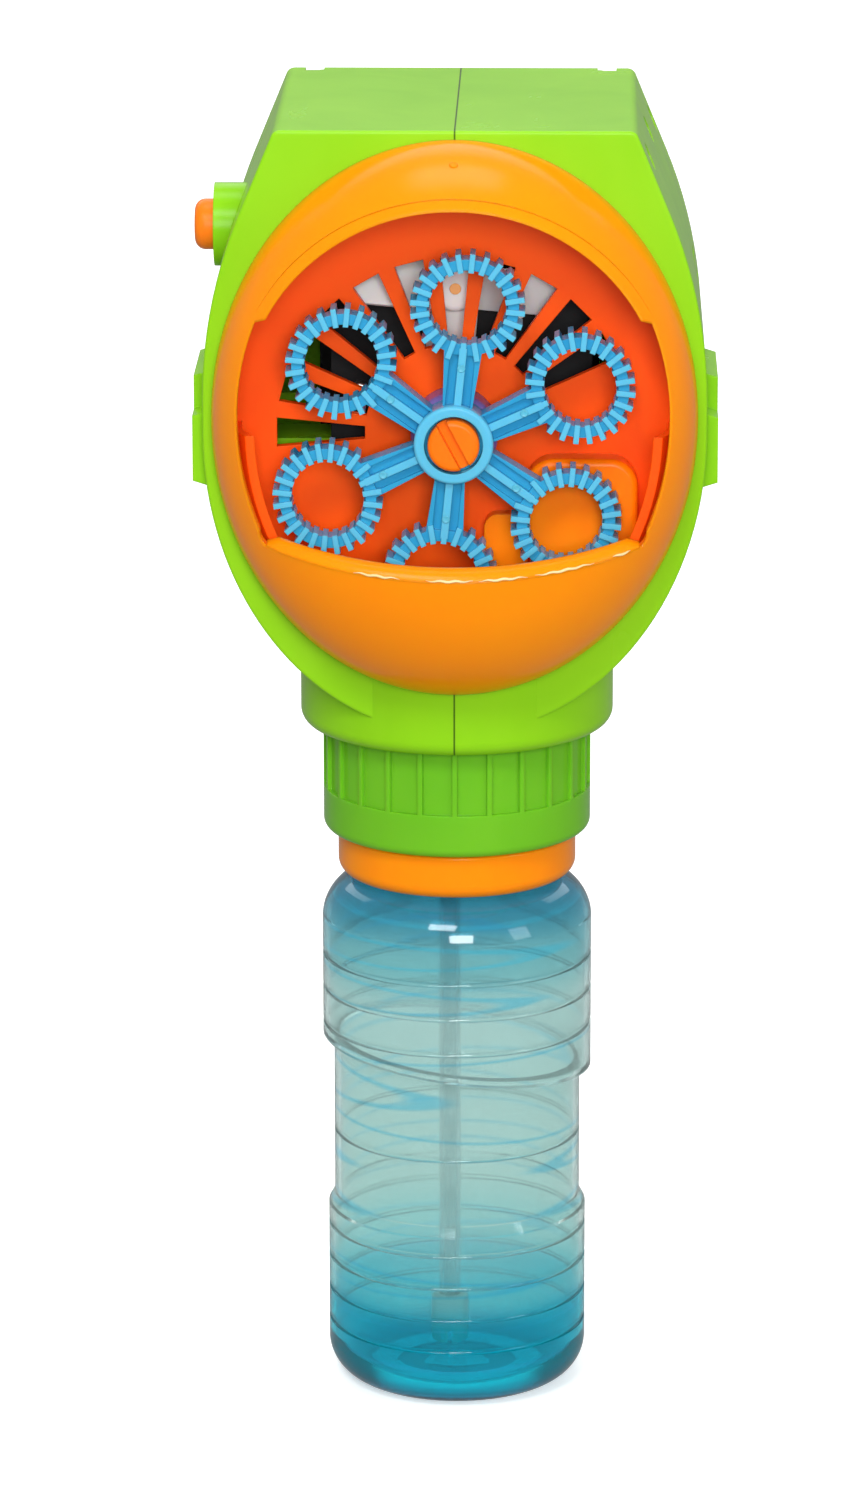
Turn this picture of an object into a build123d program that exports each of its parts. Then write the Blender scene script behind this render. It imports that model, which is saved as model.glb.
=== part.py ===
from build123d import *
from math import atan2, cos, degrees, radians, sin, sqrt
import os

# Hand-held bubble machine that stands on its bottle: a two-shell head with a motor, fan,
# gear train and hose pump, a six-ring wand wheel behind a domed front bezel, and a screw-on
# bottle below.
# Frame: millimetres, +Z up, origin at the centre of the bottle's base, front towards -Y.

os.makedirs("parts", exist_ok=True)

# ---------------------------------------------------------------- driving dimensions
# Bottle
BOTTLE_R = 24.3
LOWER_R = 23.4
WAIST_R = 22.3
NECK_R = 16.6
BASE_R = 16.4
BOTTLE_WALL = 1.0
WAIST_BOTTOM = 35.0
WAIST_TOP = 62.5
WAIST_TILT = 7.0
SHOULDER_Z = 88.0
NECK_Z = 95.6
RIM_Z = 107.5

# Adapter ring, union collar and bottle socket
ADAPTER_R = 21.4
ADAPTER_BOTTOM = 95.9
ADAPTER_TOP = 110.0
COLLAR_R = 24.0
COLLAR_BOTTOM = 104.3
COLLAR_TOP = 124.6
COLLAR_RIBS = 24
SOCKET_R = 18.6
SOCKET_FLANGE_Z = 111.2
SOCKET_TOP = 134.0
THREAD_PITCH = 3.0

# Head
HEAD_HALF_WIDTH = 44.0
HEAD_Z = 187.0
BELLY_Z = 181.0
HEAD_DROP = 54.0
HEAD_TOP = 234.8
FLARE_R = 86.0
FLARE_ANGLE = 22.5
FRONT_Y = -24.0
REAR_Y = 44.0
WALL = 2.0
SKIRT_R = 28.0
SKIRT_BOTTOM = 123.9
SKIRT_TOP = 140.0

# Domed front bezel, drip tray and grille
DOME_Z = 184.2
DOME_A = 42.4
DOME_B = 49.1
DOME_DEPTH = 30.0
DOME_WALL = 2.2
MOUTH_R = 36.5
MOUTH_Z = 187.4
LIP_Z = 161.3
TRAY_EDGE_Y = -33.5
GRILLE_Y = -21.0
GRILLE_T = 2.0
FEED_X, FEED_Z = 27.0, 168.0
DRAIN_Z = 142.5

# Wand wheel
HUB_Z = 181.8
WAND_RADIUS = 24.0
WAND_COUNT = 6
WAND_TURN = 84.3
WHEEL_Y = -31.0
AXLE_R = 2.4

# Gear train: module 0.5, three layers of gears between two plates
MODULE = 0.5
PINION_TEETH = 10
WHEEL_TEETH = 40
GEAR_T = 2.5
LAYER_A = 0.0
LAYER_B = -2.8
LAYER_C = -5.6
PIN_R = 1.0
FIT = 0.05
PLATE_T = 1.5
PLATE_FRONT_Y = -10.0
PLATE_REAR_Y = 0.6
CENTRE_DISTANCE = MODULE * (PINION_TEETH + WHEEL_TEETH) / 2
IDLER_X = 11.1
MOTOR_X = 0.0
MOTOR_Z = HUB_Z + CENTRE_DISTANCE + 2 * sqrt(CENTRE_DISTANCE**2 - IDLER_X**2)

# Pump
ROTOR_Y = 3.0
ROTOR_T = 5.2
HOSE_R = 1.6
HOSE_BORE = 0.9
HOSE_PATH_R = 8.6
ROLLER_R = 2.0
ROLLER_RADIUS = 4.85

# Batteries
CELL_LENGTH = 50.5
CELL_PITCH = 15.2
CELL_Y = 36.4
CELL_BOTTOM = 162.9
BOX_FRONT_Y = 27.5

# Button
BUTTON_Y = 5.0
BUTTON_Z = 213.0
BUTTON_R = 4.5
BUTTON_TRAVEL = 2.0


FORWARD = (0, -1, 0)


def at_y(y):
    """Upright plane facing the front at the given depth, X to the right and Z up."""
    return Plane.XZ.offset(-y)


def save(piece, name):
    """Name a finished piece and write it to its own file."""
    piece.part.label = name
    export_step(piece.part, f"parts/{name}.step")


# ---------------------------------------------------------------- bottle

def bottle_form(inset):
    """Bottle outside for inset 0, and the hollow inside it for the wall's thickness."""
    base = 0.0 if inset == 0 else 2.0
    top = RIM_Z if inset == 0 else RIM_Z + 1
    with BuildPart() as form:
        with BuildSketch(Plane.XZ):
            with BuildLine():
                foot = Line((0, base), (BASE_R - inset, base))
                heel = RadiusArc(foot @ 1, (LOWER_R - inset, base + 7), -7.4)
                low = Line(heel @ 1, (LOWER_R - inset, 33))
                dip = Line(low @ 1, (WAIST_R - inset, WAIST_BOTTOM))
                waist = Line(dip @ 1, (WAIST_R - inset, 55))
                rise = Line(waist @ 1, (BOTTLE_R - inset, 57))
                body = Line(rise @ 1, (BOTTLE_R - inset, SHOULDER_Z))
                shoulder = RadiusArc(body @ 1, (NECK_R - inset, NECK_Z), -8.6)
                neck = Line(shoulder @ 1, (NECK_R - inset, top))
                rim = Line(neck @ 1, (0, top))
                Line(rim @ 1, foot @ 0)
            make_face()
        revolve(axis=Axis.Z)
        # The grip's upper edge leans, so the wide shoulder ends lower on the right
        lean = radians(WAIST_TILT)
        slant = Plane(origin=(0, 0, WAIST_TOP + inset), z_dir=(sin(lean), 0, cos(lean)))
        with BuildPart(mode=Mode.PRIVATE) as grip:
            with BuildSketch(Plane.XY.offset(54)):
                Circle(BOTTLE_R + 4)
                Circle(WAIST_R - inset, mode=Mode.SUBTRACT)
            extrude(amount=20)
            split(bisect_by=slant, keep=Keep.BOTTOM)
        add(grip.part, mode=Mode.SUBTRACT)
    return form


bottle_outside = bottle_form(0)
bottle_inside = bottle_form(BOTTLE_WALL)

with BuildPart() as bottle:
    add(bottle_outside.part)
    # Fine moulded grooves round the body, above and below the grip
    with BuildSketch(Plane.XZ):
        with Locations(*[(BOTTLE_R, z) for z in (68.0, 74.6, 81.0)]):
            Circle(0.45)
        with Locations(*[(LOWER_R, z) for z in (11.5, 17.5, 23.6, 29.7)]):
            Circle(0.45)
        with Locations((WAIST_R, 47.5)):
            Circle(0.4)
    revolve(axis=Axis.Z, mode=Mode.SUBTRACT)
    add(bottle_inside.part, mode=Mode.SUBTRACT)
    # Shallow ring groove under the base, round a flat centre
    with BuildSketch(Plane.XY):
        Circle(11)
        Circle(6, mode=Mode.SUBTRACT)
    extrude(amount=0.8, mode=Mode.SUBTRACT)
    # Support ring under the neck thread
    with BuildSketch(Plane.XY.offset(NECK_Z + 2)):
        Circle(NECK_R + 0.35)
        Circle(NECK_R - 0.5, mode=Mode.SUBTRACT)
    extrude(amount=1.2)
save(bottle, "bottle")

with BuildPart() as neck_seal:
    with BuildSketch(Plane.XY.offset(RIM_Z)):
        Circle(NECK_R)
        Circle(14.0, mode=Mode.SUBTRACT)
    extrude(amount=0.8)
save(neck_seal, "neck_seal")

with BuildPart() as adapter_ring:
    with BuildSketch(Plane.XY.offset(ADAPTER_BOTTOM)):
        Circle(ADAPTER_R)
    extrude(amount=8.0)
    fillet(adapter_ring.edges().filter_by(GeomType.CIRCLE).group_by(Axis.Z)[0], 2.6)
    fillet(adapter_ring.edges().filter_by(GeomType.CIRCLE).group_by(Axis.Z)[-1], 0.5)
    with BuildSketch(Plane.XY.offset(ADAPTER_BOTTOM + 8.0)):
        Circle(20.2)
    extrude(amount=ADAPTER_TOP - ADAPTER_BOTTOM - 8.0)
    # Screw thread that the collar turns on
    with BuildLine():
        turn = Helix(THREAD_PITCH, 3.6, 20.1, center=(0, 0, ADAPTER_BOTTOM + 9.2))
    with BuildSketch(Plane(origin=turn @ 0, x_dir=(1, 0, 0), z_dir=turn % 0)):
        Trapezoid(1.3, 1.1, 60, rotation=-90)
    sweep(path=turn, is_frenet=True)
    # Bore for the bottle neck, closed to a smaller mouth above the neck seal
    with BuildSketch(Plane.XY.offset(ADAPTER_BOTTOM)):
        Circle(NECK_R + 0.45)
    extrude(amount=RIM_Z + 0.8 - ADAPTER_BOTTOM, mode=Mode.SUBTRACT)
    with BuildSketch(Plane.XY.offset(ADAPTER_BOTTOM)):
        Circle(14.0)
    extrude(amount=20, mode=Mode.SUBTRACT)
save(adapter_ring, "adapter_ring")

# ---------------------------------------------------------------- union collar

with BuildPart() as collar:
    with BuildSketch(Plane.XY.offset(COLLAR_BOTTOM)):
        Circle(COLLAR_R)
    extrude(amount=COLLAR_TOP - COLLAR_BOTTOM)
    fillet(collar.edges().group_by(Axis.Z)[0], 1.7)
    # Recessed grip windows separated by narrow ribs
    with BuildSketch(Plane.XY.offset(COLLAR_BOTTOM + 7.9)):
        Circle(COLLAR_R + 1)
        Circle(COLLAR_R - 0.8, mode=Mode.SUBTRACT)
        with PolarLocations(COLLAR_R, COLLAR_RIBS):
            Rectangle(4, 0.9, mode=Mode.SUBTRACT)
    extrude(amount=COLLAR_TOP - COLLAR_BOTTOM, mode=Mode.SUBTRACT)
    with BuildSketch(Plane.XZ):
        with BuildLine():
            Polyline(
                (0, COLLAR_BOTTOM - 1),
                (21.15, COLLAR_BOTTOM - 1),
                (21.15, 113.3),
                (SOCKET_R + 0.35, 113.3),
                (SOCKET_R + 0.35, 115.3),
                (21.8, 116.8),
                (21.8, COLLAR_TOP + 1),
                (0, COLLAR_TOP + 1),
                close=True,
            )
        make_face()
    revolve(axis=Axis.Z, mode=Mode.SUBTRACT)
save(collar, "collar")

# ---------------------------------------------------------------- bottle socket and its seal

DIP_X, DIP_Y = -10.0 + HOSE_PATH_R, ROTOR_Y + ROTOR_T / 2
DRAIN_Y = -12.0

with BuildPart() as bottle_socket:
    with BuildSketch(Plane.XY.offset(SOCKET_FLANGE_Z)):
        Circle(20.6)
    extrude(amount=1.8)
    with BuildSketch(Plane.XY.offset(SOCKET_FLANGE_Z)):
        Circle(SOCKET_R)
    extrude(amount=SOCKET_TOP - SOCKET_FLANGE_Z)
    # Two beads that the head's clamp ring sits between
    for bead in (125.6, 129.6):
        with BuildSketch(Plane.XY.offset(bead)):
            Circle(SOCKET_R + 1.0)
        extrude(amount=1.2)
    with BuildSketch(Plane.XY.offset(SOCKET_FLANGE_Z)):
        Circle(SOCKET_R - 1.6)
    extrude(amount=SOCKET_TOP - SOCKET_FLANGE_Z - 2, mode=Mode.SUBTRACT)
    # Hose barbs for the feed and the drain
    with BuildSketch(Plane.XY.offset(SOCKET_TOP)):
        with Locations((DIP_X, DIP_Y), (0, DRAIN_Y)):
            Circle(1.7)
    extrude(amount=4)
    with BuildSketch(Plane.XY.offset(SOCKET_TOP - 3)):
        with Locations((DIP_X, DIP_Y), (0, DRAIN_Y)):
            Circle(HOSE_BORE)
    extrude(amount=8, mode=Mode.SUBTRACT)
    # Socket for the dip tube below the floor
    with BuildSketch(Plane.XY.offset(SOCKET_TOP - 8)):
        with Locations((DIP_X, DIP_Y)):
            Circle(3.2)
    extrude(amount=6.5)
    with BuildSketch(Plane.XY.offset(SOCKET_TOP - 8)):
        with Locations((DIP_X, DIP_Y)):
            Circle(2.0)
    extrude(amount=6, mode=Mode.SUBTRACT)
save(bottle_socket, "bottle_socket")

with BuildPart() as socket_seal:
    with BuildSketch(Plane.XY.offset(ADAPTER_TOP)):
        Circle(20.2)
        Circle(15.5, mode=Mode.SUBTRACT)
    extrude(amount=SOCKET_FLANGE_Z - ADAPTER_TOP)
save(socket_seal, "socket_seal")

with BuildPart() as dip_tube:
    with BuildSketch(Plane.XY.offset(9)):
        with Locations((DIP_X, DIP_Y)):
            Circle(2.0)
            Circle(1.2, mode=Mode.SUBTRACT)
    extrude(amount=SOCKET_TOP - 2 - 9)
save(dip_tube, "dip_tube")

with BuildPart() as intake_filter:
    with BuildSketch(Plane.XY.offset(4.0)):
        with Locations((DIP_X, DIP_Y)):
            Circle(3.4)
    extrude(amount=9)
    fillet(intake_filter.edges().filter_by(GeomType.CIRCLE), 0.8)
    with BuildSketch(Plane.XY.offset(9)):
        with Locations((DIP_X, DIP_Y)):
            Circle(2.0)
    extrude(amount=6, mode=Mode.SUBTRACT)
    # Inlet slots across the foot
    with BuildSketch(Plane.XY.offset(3.0)):
        with Locations((DIP_X, DIP_Y)):
            Rectangle(8, 0.9)
            Rectangle(0.9, 8)
            Circle(1.2)
    extrude(amount=3.5, mode=Mode.SUBTRACT)
save(intake_filter, "intake_filter")

# ---------------------------------------------------------------- domed front bezel

def dome(shrink, depth_shrink):
    """Ellipsoid whose widest section lies on the head's front face."""
    with BuildPart() as ball:
        Sphere(1)
        scale(by=(DOME_A - shrink, DOME_DEPTH - depth_shrink, DOME_B - shrink))
    with BuildPart() as placed:
        with Locations((0, FRONT_Y, DOME_Z)):
            add(ball.part)
        split(bisect_by=at_y(FRONT_Y), keep=Keep.TOP)
    return placed


def mouth_outline(grow):
    """Mouth of the bezel: a round top, two small shoulders and a nearly straight lip."""
    shoulder_z = 204.6
    inner = sqrt((MOUTH_R + grow) ** 2 - (shoulder_z - MOUTH_Z) ** 2)
    outer = inner + 1.9
    side = 37.3 + grow
    corner = 32.4 + grow
    with BuildSketch(at_y(FRONT_Y)) as outline:
        with BuildLine():
            crown = (0, MOUTH_Z + MOUTH_R + grow)
            top = ThreePointArc((-inner, shoulder_z), crown, (inner, shoulder_z))
            step = Line(top @ 1, (outer, shoulder_z - 0.8))
            upper = ThreePointArc(step @ 1, (36.1 + grow, 197.5), (side, 188.5))
            lower = ThreePointArc(upper @ 1, (36.3 + grow, 177), (corner + 1.0, 167.5))
            lip = ThreePointArc((corner, 165.0 - grow), (0, LIP_Z - grow), (-corner, 165.0 - grow))
            RadiusArc(lower @ 1, lip @ 0, 3)
            left_low = ThreePointArc((-corner - 1.0, 167.5), (-36.3 - grow, 177), (-side, 188.5))
            RadiusArc(lip @ 1, left_low @ 0, 3)
            left_up = ThreePointArc(left_low @ 1, (-36.1 - grow, 197.5), (-outer, shoulder_z - 0.8))
            Line(left_up @ 1, top @ 0)
        make_face()
    return outline


dome_outside = dome(0, 0)
dome_inside = dome(DOME_WALL, DOME_WALL)

with BuildPart() as front_bezel:
    add(dome_outside.part)
    add(dome_inside.part, mode=Mode.SUBTRACT)
    add(mouth_outline(0).sketch)
    extrude(amount=DOME_DEPTH + 5, dir=FORWARD, mode=Mode.SUBTRACT)
    # Spigot that enters the head's front opening
    with BuildSketch(at_y(FRONT_Y + 5)):
        with Locations((0, DOME_Z)):
            Ellipse(DOME_A - 1.8, DOME_B - 1.8)
            Ellipse(DOME_A - 3.4, DOME_B - 3.4, mode=Mode.SUBTRACT)
    extrude(amount=5)
save(front_bezel, "front_bezel")

tray_outside = dome(3.8, 3.0)
tray_inside = dome(5.2, 4.4)

with BuildPart() as drip_tray:
    add(tray_outside.part)
    add(tray_inside.part, mode=Mode.SUBTRACT)
    with BuildSketch(at_y(GRILLE_Y)):
        with Locations((0, DOME_Z)):
            Ellipse(DOME_A - 3.8, DOME_B - 3.8)
            Ellipse(DOME_A - 5.2, DOME_B - 5.2, mode=Mode.SUBTRACT)
    extrude(amount=GRILLE_Y - FRONT_Y)
    # Only the lower half is a tray, cut back behind the bezel's lip
    split(bisect_by=Plane.XY.offset(183), keep=Keep.BOTTOM)
    with BuildSketch(at_y(TRAY_EDGE_Y)):
        with Locations((0, MOUTH_Z)):
            Rectangle(90, 62)
    extrude(amount=30, mode=Mode.SUBTRACT)
save(drip_tray, "drip_tray")

# ---------------------------------------------------------------- grille behind the wheel

SLOT_COUNT = 11
SLOT_STEP = 15.0
SLOT_CENTRE_Z = 181.0

with BuildPart() as air_grille:
    with BuildSketch(at_y(GRILLE_Y + GRILLE_T)):
        with Locations((0, DOME_Z)):
            Ellipse(DOME_A - 3.6, DOME_B - 3.6)
        with Locations((0, HUB_Z)):
            Circle(AXLE_R + FIT, mode=Mode.SUBTRACT)
        with Locations((FEED_X, FEED_Z), (0, DRAIN_Z)):
            Circle(HOSE_BORE, mode=Mode.SUBTRACT)
        for index in range(SLOT_COUNT):
            angle = 30.0 + SLOT_STEP * index
            with Locations(Location((0, SLOT_CENTRE_Z), angle)):
                with Locations((23.4, 0)):
                    Trapezoid(5.2, 15.4, 84.5, rotation=90, mode=Mode.SUBTRACT)
    extrude(amount=GRILLE_T)
    # Long bearing boss for the wheel's axle, and two hose stubs, behind the plate
    with BuildSketch(at_y(GRILLE_Y + GRILLE_T)):
        with Locations((0, HUB_Z)):
            Circle(AXLE_R + 1.8)
            Circle(AXLE_R + FIT, mode=Mode.SUBTRACT)
        with Locations((FEED_X, FEED_Z), (0, DRAIN_Z)):
            Circle(1.7)
            Circle(HOSE_BORE, mode=Mode.SUBTRACT)
    extrude(amount=-4)
save(air_grille, "air_grille")

with BuildPart() as feed_block:
    with BuildSketch(at_y(GRILLE_Y)) as block_face:
        with Locations((22.2, 168.6)):
            RectangleRounded(19.6, 17.6, 5.0)
    extrude(amount=5.4)
    fillet(feed_block.faces().sort_by(Axis.Y)[0].edges(), 1.2)
    with BuildSketch(at_y(GRILLE_Y)):
        with Locations((9.0, 162.0)):
            RectangleRounded(7.6, 10.4, 2.4)
    extrude(amount=3.6)
    # Feed passage that opens on the front face, where a passing ring picks up solution
    with BuildSketch(at_y(GRILLE_Y)):
        with Locations((FEED_X, FEED_Z)):
            Circle(HOSE_BORE)
    extrude(amount=8, mode=Mode.SUBTRACT)
save(feed_block, "feed_block")

# ---------------------------------------------------------------- wand wheel

def wand_ring_rib(index, count):
    """Place of one rib on an oval wand ring, as a location in the ring's own plane."""
    angle = 360.0 * index / count
    return Location((7.8 * cos(radians(angle)), 8.3 * sin(radians(angle))), angle)


RIBS_PER_RING = 24

with BuildPart() as one_wand:
    # Thin web: the oval ring and the flat of its arm
    with BuildSketch(at_y(WHEEL_Y + 2.2)):
        with Locations((WAND_RADIUS, 0)):
            Ellipse(8.4, 8.9)
        with Locations((10.5, 0)):
            Trapezoid(6.6, 12.4, 86, rotation=90)
        with Locations((WAND_RADIUS, 0)):
            Ellipse(6.5, 7.0, mode=Mode.SUBTRACT)
    extrude(amount=4.4)
    # Groove both faces of the arm so that its web is thinner than its side rails
    for face_y, depth in ((WHEEL_Y - 2.2, -0.9), (WHEEL_Y + 2.2, 0.9)):
        with BuildSketch(at_y(face_y)):
            with Locations((10.9, 0)):
                Rectangle(9.4, 4.4)
        extrude(amount=depth, mode=Mode.SUBTRACT)
    # Raised ribs round the ring and along the arm
    with BuildSketch(at_y(WHEEL_Y + 2.8)):
        with Locations((WAND_RADIUS, 0)):
            with Locations(*[wand_ring_rib(index, RIBS_PER_RING) for index in range(RIBS_PER_RING)]):
                Rectangle(3.3, 0.95)
        with Locations((11.2, 0)):
            Rectangle(11.4, 1.3)
    extrude(amount=5.6)

with BuildPart() as wand_wheel:
    with BuildSketch(at_y(WHEEL_Y + 2.8)):
        with Locations((0, HUB_Z)):
            Circle(6.9)
    extrude(amount=7.0)
    fillet(wand_wheel.edges().filter_by(GeomType.CIRCLE).group_by(Axis.Y)[0], 0.6)
    wand_places = [
        Location((0, 0, HUB_Z), (0, -(WAND_TURN + 360.0 / WAND_COUNT * index), 0))
        for index in range(WAND_COUNT)
    ]
    with Locations(*wand_places):
        add(one_wand.part)
    # Recessed face round the axle head, then the axle's bore
    with BuildSketch(at_y(WHEEL_Y - 1.6)):
        with Locations((0, HUB_Z)):
            Circle(5.1)
    extrude(amount=6, mode=Mode.SUBTRACT)
    with BuildSketch(at_y(WHEEL_Y + 5)):
        with Locations((0, HUB_Z)):
            Circle(AXLE_R)
    extrude(amount=12, mode=Mode.SUBTRACT)
save(wand_wheel, "wand_wheel")

with BuildPart() as wheel_spacer:
    with BuildSketch(at_y(GRILLE_Y - 0.3)):
        with Locations((0, HUB_Z)):
            Circle(7.6)
            Circle(AXLE_R, mode=Mode.SUBTRACT)
    extrude(amount=WHEEL_Y * -1 - 2.8 + GRILLE_Y - 0.3)
    front_circles = wheel_spacer.edges().filter_by(GeomType.CIRCLE).group_by(Axis.Y)[0]
    fillet(front_circles.sort_by(SortBy.LENGTH)[-1], 1.5)
save(wheel_spacer, "wheel_spacer")

with BuildPart() as wand_axle:
    # Slotted head, front shaft through the grille's bearing, and thin rear pin
    with BuildSketch(at_y(WHEEL_Y - 1.6)):
        with Locations((0, HUB_Z)):
            Circle(4.5)
    extrude(amount=3.6)
    fillet(wand_axle.edges().filter_by(GeomType.CIRCLE).group_by(Axis.Y)[0], 0.9)
    with BuildSketch(at_y(WHEEL_Y - 5.4)):
        with Locations(Location((0, HUB_Z), -62)):
            Rectangle(10, 1.9)
    extrude(amount=-2.6, mode=Mode.SUBTRACT)
    with BuildSketch(at_y(LAYER_C)):
        with Locations((0, HUB_Z)):
            Circle(AXLE_R)
    extrude(amount=LAYER_C - WHEEL_Y + 1.7)
    with BuildSketch(at_y(PLATE_REAR_Y + PLATE_T)):
        with Locations((0, HUB_Z)):
            Circle(PIN_R + 0.2)
    extrude(amount=PLATE_REAR_Y + PLATE_T - LAYER_C + 1)
save(wand_axle, "wand_axle")

# ---------------------------------------------------------------- gear train

def gear_face(teeth, x, z, phase):
    """Outline of a spur gear at (x, z) with one tooth at the angle phase, for a loose toy mesh."""
    root_r = MODULE * teeth / 2 - 1.2 * MODULE
    tip_r = MODULE * teeth / 2 + 0.8 * MODULE
    with Locations((x, z)):
        Circle(root_r)
        for index in range(teeth):
            with Locations(Location((0, 0), phase + 360.0 * index / teeth)):
                with Locations(((root_r + tip_r) / 2 - 0.1, 0)):
                    Trapezoid(0.98, tip_r - root_r + 0.2, 74, rotation=-90)


def meshed_phase(phase, teeth, turned, other_teeth):
    """Tooth angle of a gear that meshes, in the direction turned, with a gear of known phase."""
    lead = (turned - phase) * teeth / 360.0
    return turned + 180.0 + (lead - 0.5) * 360.0 / other_teeth


def direction(from_x, from_z, to_x, to_z):
    """Angle from one gear centre to another, counter-clockwise from +X seen from the front."""
    return degrees(atan2(to_z - from_z, to_x - from_x))


# Two idler pins stand to the right of the line between the motor and the wheel's axle
G1_X, G1_Z = IDLER_X, MOTOR_Z - sqrt(CENTRE_DISTANCE**2 - IDLER_X**2)
G2_X, G2_Z = IDLER_X, G1_Z - CENTRE_DISTANCE
OUT_X, OUT_Z = 0.0, HUB_Z
PUMP_X = -10.0
PUMP_Z = OUT_Z - sqrt((MODULE * WHEEL_TEETH) ** 2 - PUMP_X**2)

PHASE_M = 90.0
PHASE_G1 = meshed_phase(PHASE_M, PINION_TEETH, direction(MOTOR_X, MOTOR_Z, G1_X, G1_Z), WHEEL_TEETH)
PHASE_G2 = meshed_phase(PHASE_G1, PINION_TEETH, direction(G1_X, G1_Z, G2_X, G2_Z), WHEEL_TEETH)
PHASE_OUT = meshed_phase(PHASE_G2, PINION_TEETH, direction(G2_X, G2_Z, OUT_X, OUT_Z), WHEEL_TEETH)
PHASE_PUMP = meshed_phase(PHASE_OUT, WHEEL_TEETH, direction(OUT_X, OUT_Z, PUMP_X, PUMP_Z), WHEEL_TEETH)


def compound_gear(x, z, phase, rear_y, name):
    """Large wheel behind a small pinion, on one hub, with a running bore."""
    with BuildPart() as gear:
        with BuildSketch(at_y(rear_y)):
            gear_face(WHEEL_TEETH, x, z, phase)
        extrude(amount=GEAR_T)
        with BuildSketch(at_y(rear_y - GEAR_T)):
            gear_face(PINION_TEETH, x, z, phase)
        extrude(amount=GEAR_T + 0.3)
        # Plain hub fills the space left between the two plates
        with BuildSketch(at_y(PLATE_REAR_Y - 0.3)):
            with Locations((x, z)):
                Circle(1.7)
        extrude(amount=PLATE_REAR_Y - PLATE_FRONT_Y - PLATE_T - 0.6)
        # Web lightening ring on the rear face
        with BuildSketch(at_y(rear_y)):
            with Locations((x, z)):
                Circle(8.2)
                Circle(3.2, mode=Mode.SUBTRACT)
        extrude(amount=0.8, mode=Mode.SUBTRACT)
        with BuildSketch(at_y(2)):
            with Locations((x, z)):
                Circle(PIN_R + FIT)
        extrude(amount=14, mode=Mode.SUBTRACT)
    save(gear, name)


compound_gear(G1_X, G1_Z, PHASE_G1, LAYER_A, "first_gear")
compound_gear(G2_X, G2_Z, PHASE_G2, LAYER_B, "second_gear")

for name, x, z, phase, bore in (
    ("output_gear", OUT_X, OUT_Z, PHASE_OUT, AXLE_R),
    ("pump_gear", PUMP_X, PUMP_Z, PHASE_PUMP, PIN_R + 0.2),
):
    with BuildPart() as plain_gear:
        with BuildSketch(at_y(LAYER_C)):
            gear_face(WHEEL_TEETH, x, z, phase)
        extrude(amount=GEAR_T)
        with BuildSketch(at_y(LAYER_C - GEAR_T)):
            with Locations((x, z)):
                Circle(8.2)
                Circle(4.2, mode=Mode.SUBTRACT)
        extrude(amount=-0.8, mode=Mode.SUBTRACT)
        with BuildSketch(at_y(LAYER_C)):
            with Locations((x, z)):
                Circle(bore)
        extrude(amount=GEAR_T, mode=Mode.SUBTRACT)
    save(plain_gear, name)

with BuildPart() as motor_pinion:
    with BuildSketch(at_y(LAYER_A + 0.3)):
        gear_face(PINION_TEETH, MOTOR_X, MOTOR_Z, PHASE_M)
    extrude(amount=GEAR_T)
    with BuildSketch(at_y(LAYER_A + 1)):
        with Locations((MOTOR_X, MOTOR_Z)):
            Circle(PIN_R)
    extrude(amount=GEAR_T + 2, mode=Mode.SUBTRACT)
save(motor_pinion, "motor_pinion")

POSTS = ((-16.5, 212.5), (20.0, 213.0), (-17.0, 186.0), (14.0, 160.0))


def plate_outline():
    """Rounded plate that covers the whole gear train."""
    with Locations((1.0, 184.8)):
        RectangleRounded(46.0, 64.0, 5.0)


with BuildPart() as gearbox_front:
    with BuildSketch(at_y(PLATE_FRONT_Y + PLATE_T)):
        plate_outline()
        with Locations((G1_X, G1_Z), (G2_X, G2_Z)):
            Circle(PIN_R, mode=Mode.SUBTRACT)
        with Locations((MOTOR_X, MOTOR_Z)):
            Circle(PIN_R + 0.5, mode=Mode.SUBTRACT)
        with Locations((OUT_X, OUT_Z)):
            Circle(AXLE_R + FIT, mode=Mode.SUBTRACT)
        with Locations((PUMP_X, PUMP_Z)):
            Circle(PIN_R + 0.2 + FIT, mode=Mode.SUBTRACT)
        with Locations(*POSTS):
            Circle(1.0, mode=Mode.SUBTRACT)
    extrude(amount=PLATE_T)
save(gearbox_front, "gearbox_front")

with BuildPart() as gearbox_rear:
    with BuildSketch(at_y(PLATE_REAR_Y + PLATE_T)):
        plate_outline()
        with Locations((G1_X, G1_Z), (G2_X, G2_Z)):
            Circle(PIN_R, mode=Mode.SUBTRACT)
        with Locations((MOTOR_X, MOTOR_Z)):
            Circle(3.1, mode=Mode.SUBTRACT)
        with Locations((MOTOR_X - 7, MOTOR_Z), (MOTOR_X + 7, MOTOR_Z)):
            Circle(0.85, mode=Mode.SUBTRACT)
        with Locations((OUT_X, OUT_Z), (PUMP_X, PUMP_Z)):
            Circle(PIN_R + 0.2 + FIT, mode=Mode.SUBTRACT)
    extrude(amount=PLATE_T)
    with BuildSketch(at_y(PLATE_REAR_Y)):
        with Locations(*POSTS):
            Circle(2.2)
    extrude(amount=PLATE_REAR_Y - PLATE_FRONT_Y - PLATE_T)
    # Sunk seats for the motor screws
    with BuildSketch(at_y(PLATE_REAR_Y)):
        with Locations((MOTOR_X - 7, MOTOR_Z), (MOTOR_X + 7, MOTOR_Z)):
            Circle(1.6)
    extrude(amount=-1.1, mode=Mode.SUBTRACT)
    with BuildSketch(at_y(PLATE_REAR_Y)):
        with Locations(*POSTS):
            Circle(0.8)
    extrude(amount=PLATE_REAR_Y - PLATE_FRONT_Y - PLATE_T, mode=Mode.SUBTRACT)
save(gearbox_rear, "gearbox_rear")

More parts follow.
